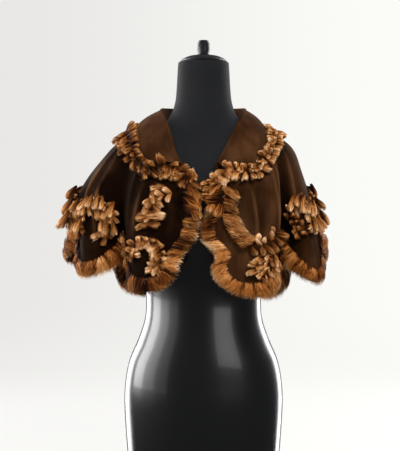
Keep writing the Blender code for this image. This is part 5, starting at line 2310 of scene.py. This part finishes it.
@dataclass
class Studio:
    """A pale sweep that glows with painted light, soft light and the camera of the photograph."""

    metres_per_pixel: float = 0.0021
    picture: tuple[int, int] = (400, 451)
    form_axis_pixel: float = 203.5
    base_pixel: float = 470.0
    distance: float = 2.9
    # The colours of the sweep's painted light, dimmer at the left and paler at the right
    dim: Colour = (0.80, 0.79, 0.775)
    pale: Colour = (0.95, 0.955, 0.925)

    def sweep(self) -> None:
        """The pale floor, round and curving up on all sides, glowing with painted light, dimmer at the left
        and paler at the right.
        """
        floor, bend, top = 5.4, 1.4, 6.5
        profile = [(0.4, 0.0), (floor, 0.0)]
        quarter = np.linspace(0, math.pi / 2, 16)[1:]
        profile += [(floor + bend * math.sin(a), bend - bend * math.cos(a)) for a in quarter]
        profile += [(floor + bend, top)]
        turns = np.linspace(0, 2 * math.pi, 97)
        profile = [(0.0, 0.0), *profile]
        points = [(r * math.sin(a), r * math.cos(a), z - 0.0005) for a in turns for r, z in profile]
        made = add_object("floor_sweep", np.array(points), grid_faces(len(turns), len(profile)))
        finish = Finish("painted_glow_floor")
        cloud = finish.noise(0.6, 1.0)
        finish.feed("Base Color", finish.mixed(cloud, (0.030, 0.030, 0.029), (0.040, 0.040, 0.039)))
        place = finish.node("ShaderNodeTexCoord").outputs["Object"]
        parts = finish.node("ShaderNodeSeparateXYZ", Vector=place)
        across = Value(finish.tree, parts.outputs["X"]) * 0.35 + 0.5
        # The sweep glows with painted light instead of being lit by the lamps
        finish.feed("Emission Color", finish.mixed(across.ramp(0.0, 1.0), self.dim, self.pale))
        finish.constants(roughness=0.9, specular_ior_level=0.1, emission_strength=1.0)
        made.data.materials.append(finish.material)
        made.visible_glossy = False
        made.visible_diffuse = False
        made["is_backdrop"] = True

    def lamp(
        self,
        name: str,
        place: Colour,
        aim: Colour,
        size: tuple[float, float],
        power: float,
        seen: bool = False,
    ) -> None:
        """A soft panel of light.

        Args:
            name: its name.
            place: where its middle is.
            aim: the point that it faces.
            size: its width and height.
            power: in watts.
            seen: whether glossy surfaces mirror it.
        """
        data = bpy.data.lights.new(name, "AREA")
        data.shape, data.size, data.size_y, data.energy = "RECTANGLE", *size, power
        made = shown(name, data)
        made.visible_glossy = seen
        made.location = place
        made.rotation_euler = (Vector(aim) - Vector(place)).to_track_quat("-Z", "Y").to_euler()

    def light(self) -> None:
        """The world and the panels."""
        world = bpy.data.worlds.new("studio")
        bpy.context.scene.world = world
        world.use_nodes = True
        sky = world.node_tree.nodes["Background"]
        sky.inputs["Color"].default_value = (1.0, 0.995, 0.985, 1)
        sky.inputs["Strength"].default_value = 0.11
        self.lamp("key", (1.1, -1.8, 2.7), (0, 0, 0.5), (0.9, 0.9), 112)
        self.lamp("fill", (-1.1, -2.3, 2.0), (0, 0, 0.5), (1.2, 1.2), 8)
        self.lamp("rim_left", (-1.25, 0.95, 0.8), (0, 0, 0.4), (0.9, 2.6), 60, seen=True)
        self.lamp("rim_right", (1.25, 1.05, 0.8), (0, 0, 0.4), (0.7, 2.6), 52, seen=True)
        self.lamp("side_left_far", (-1.55, -0.05, 0.62), (0, 0, 0.45), (0.70, 0.9), 20, seen=True)
        self.lamp("side_left_mid", (-1.40, -0.65, 0.62), (0, 0, 0.45), (0.50, 0.9), 4.6, seen=True)
        self.lamp("side_left_near", (-1.15, -1.05, 0.60), (0, 0, 0.45), (0.50, 0.9), 1.2, seen=True)
        self.lamp("patch", (0.78, -1.42, 0.66), (0, 0, 0.26), (0.80, 0.62), 3.2, seen=True)
        self.lamp("low", (-0.3, -1.7, 0.12), (0, 0.05, 0.40), (0.8, 0.3), 6)
        self.lamp("backdrop_right", (2.2, 3.2, 2.6), (2.4, 6.6, 1.2), (1.6, 1.2), 40)
        self.lamp("behind", (-0.5, 2.4, 2.2), (0, 0, 0.5), (1.2, 1.2), 16)

    def camera(self) -> None:
        """The camera, level and square to the front, where the photograph was taken from."""
        data = bpy.data.cameras.new("camera")
        wide, tall = self.picture
        data.sensor_width = 36.0
        data.lens = data.sensor_width * self.distance / (self.metres_per_pixel * max(wide, tall))
        made = shown("camera", data)
        x = (wide / 2 - self.form_axis_pixel) * self.metres_per_pixel
        z = (self.base_pixel - tall / 2) * self.metres_per_pixel
        made.location = (x, -self.distance, z)
        made.rotation_euler = (math.pi / 2, 0, 0)
        bpy.context.scene.camera = made

    def build(self) -> None:
        """Builds the room."""
        self.sweep()
        self.light()
        self.camera()
        bpy.context.scene.view_settings.view_transform = "Standard"


def note_size(sizes: dict[str, list[list[float]]], when: str) -> None:
    """Adds the shown object's box to the sizes.

    Args:
        sizes: the boxes so far.
        when: the name for this one.
    """
    low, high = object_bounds()
    sizes[when] = [list(low), list(high)]


def main() -> None:
    """Builds every piece in order and reports each."""
    logging.basicConfig(level=logging.INFO, format="%(message)s")
    sizes: dict[str, list[list[float]]] = {}
    note_size(sizes, "cad")
    DressForm().build()
    panels = Panels()
    panels.build()
    collar = Collar()
    collar.build(cloth_tree(panels))
    trim = FurTrim(Barber(np.random.default_rng(SEED)), panels, collar)
    trim.build()
    Closure().build()
    declare_sheets(panels, collar, trim)
    Studio().build()
    note_size(sizes, "visual")


if __name__ == "__main__":
    main()
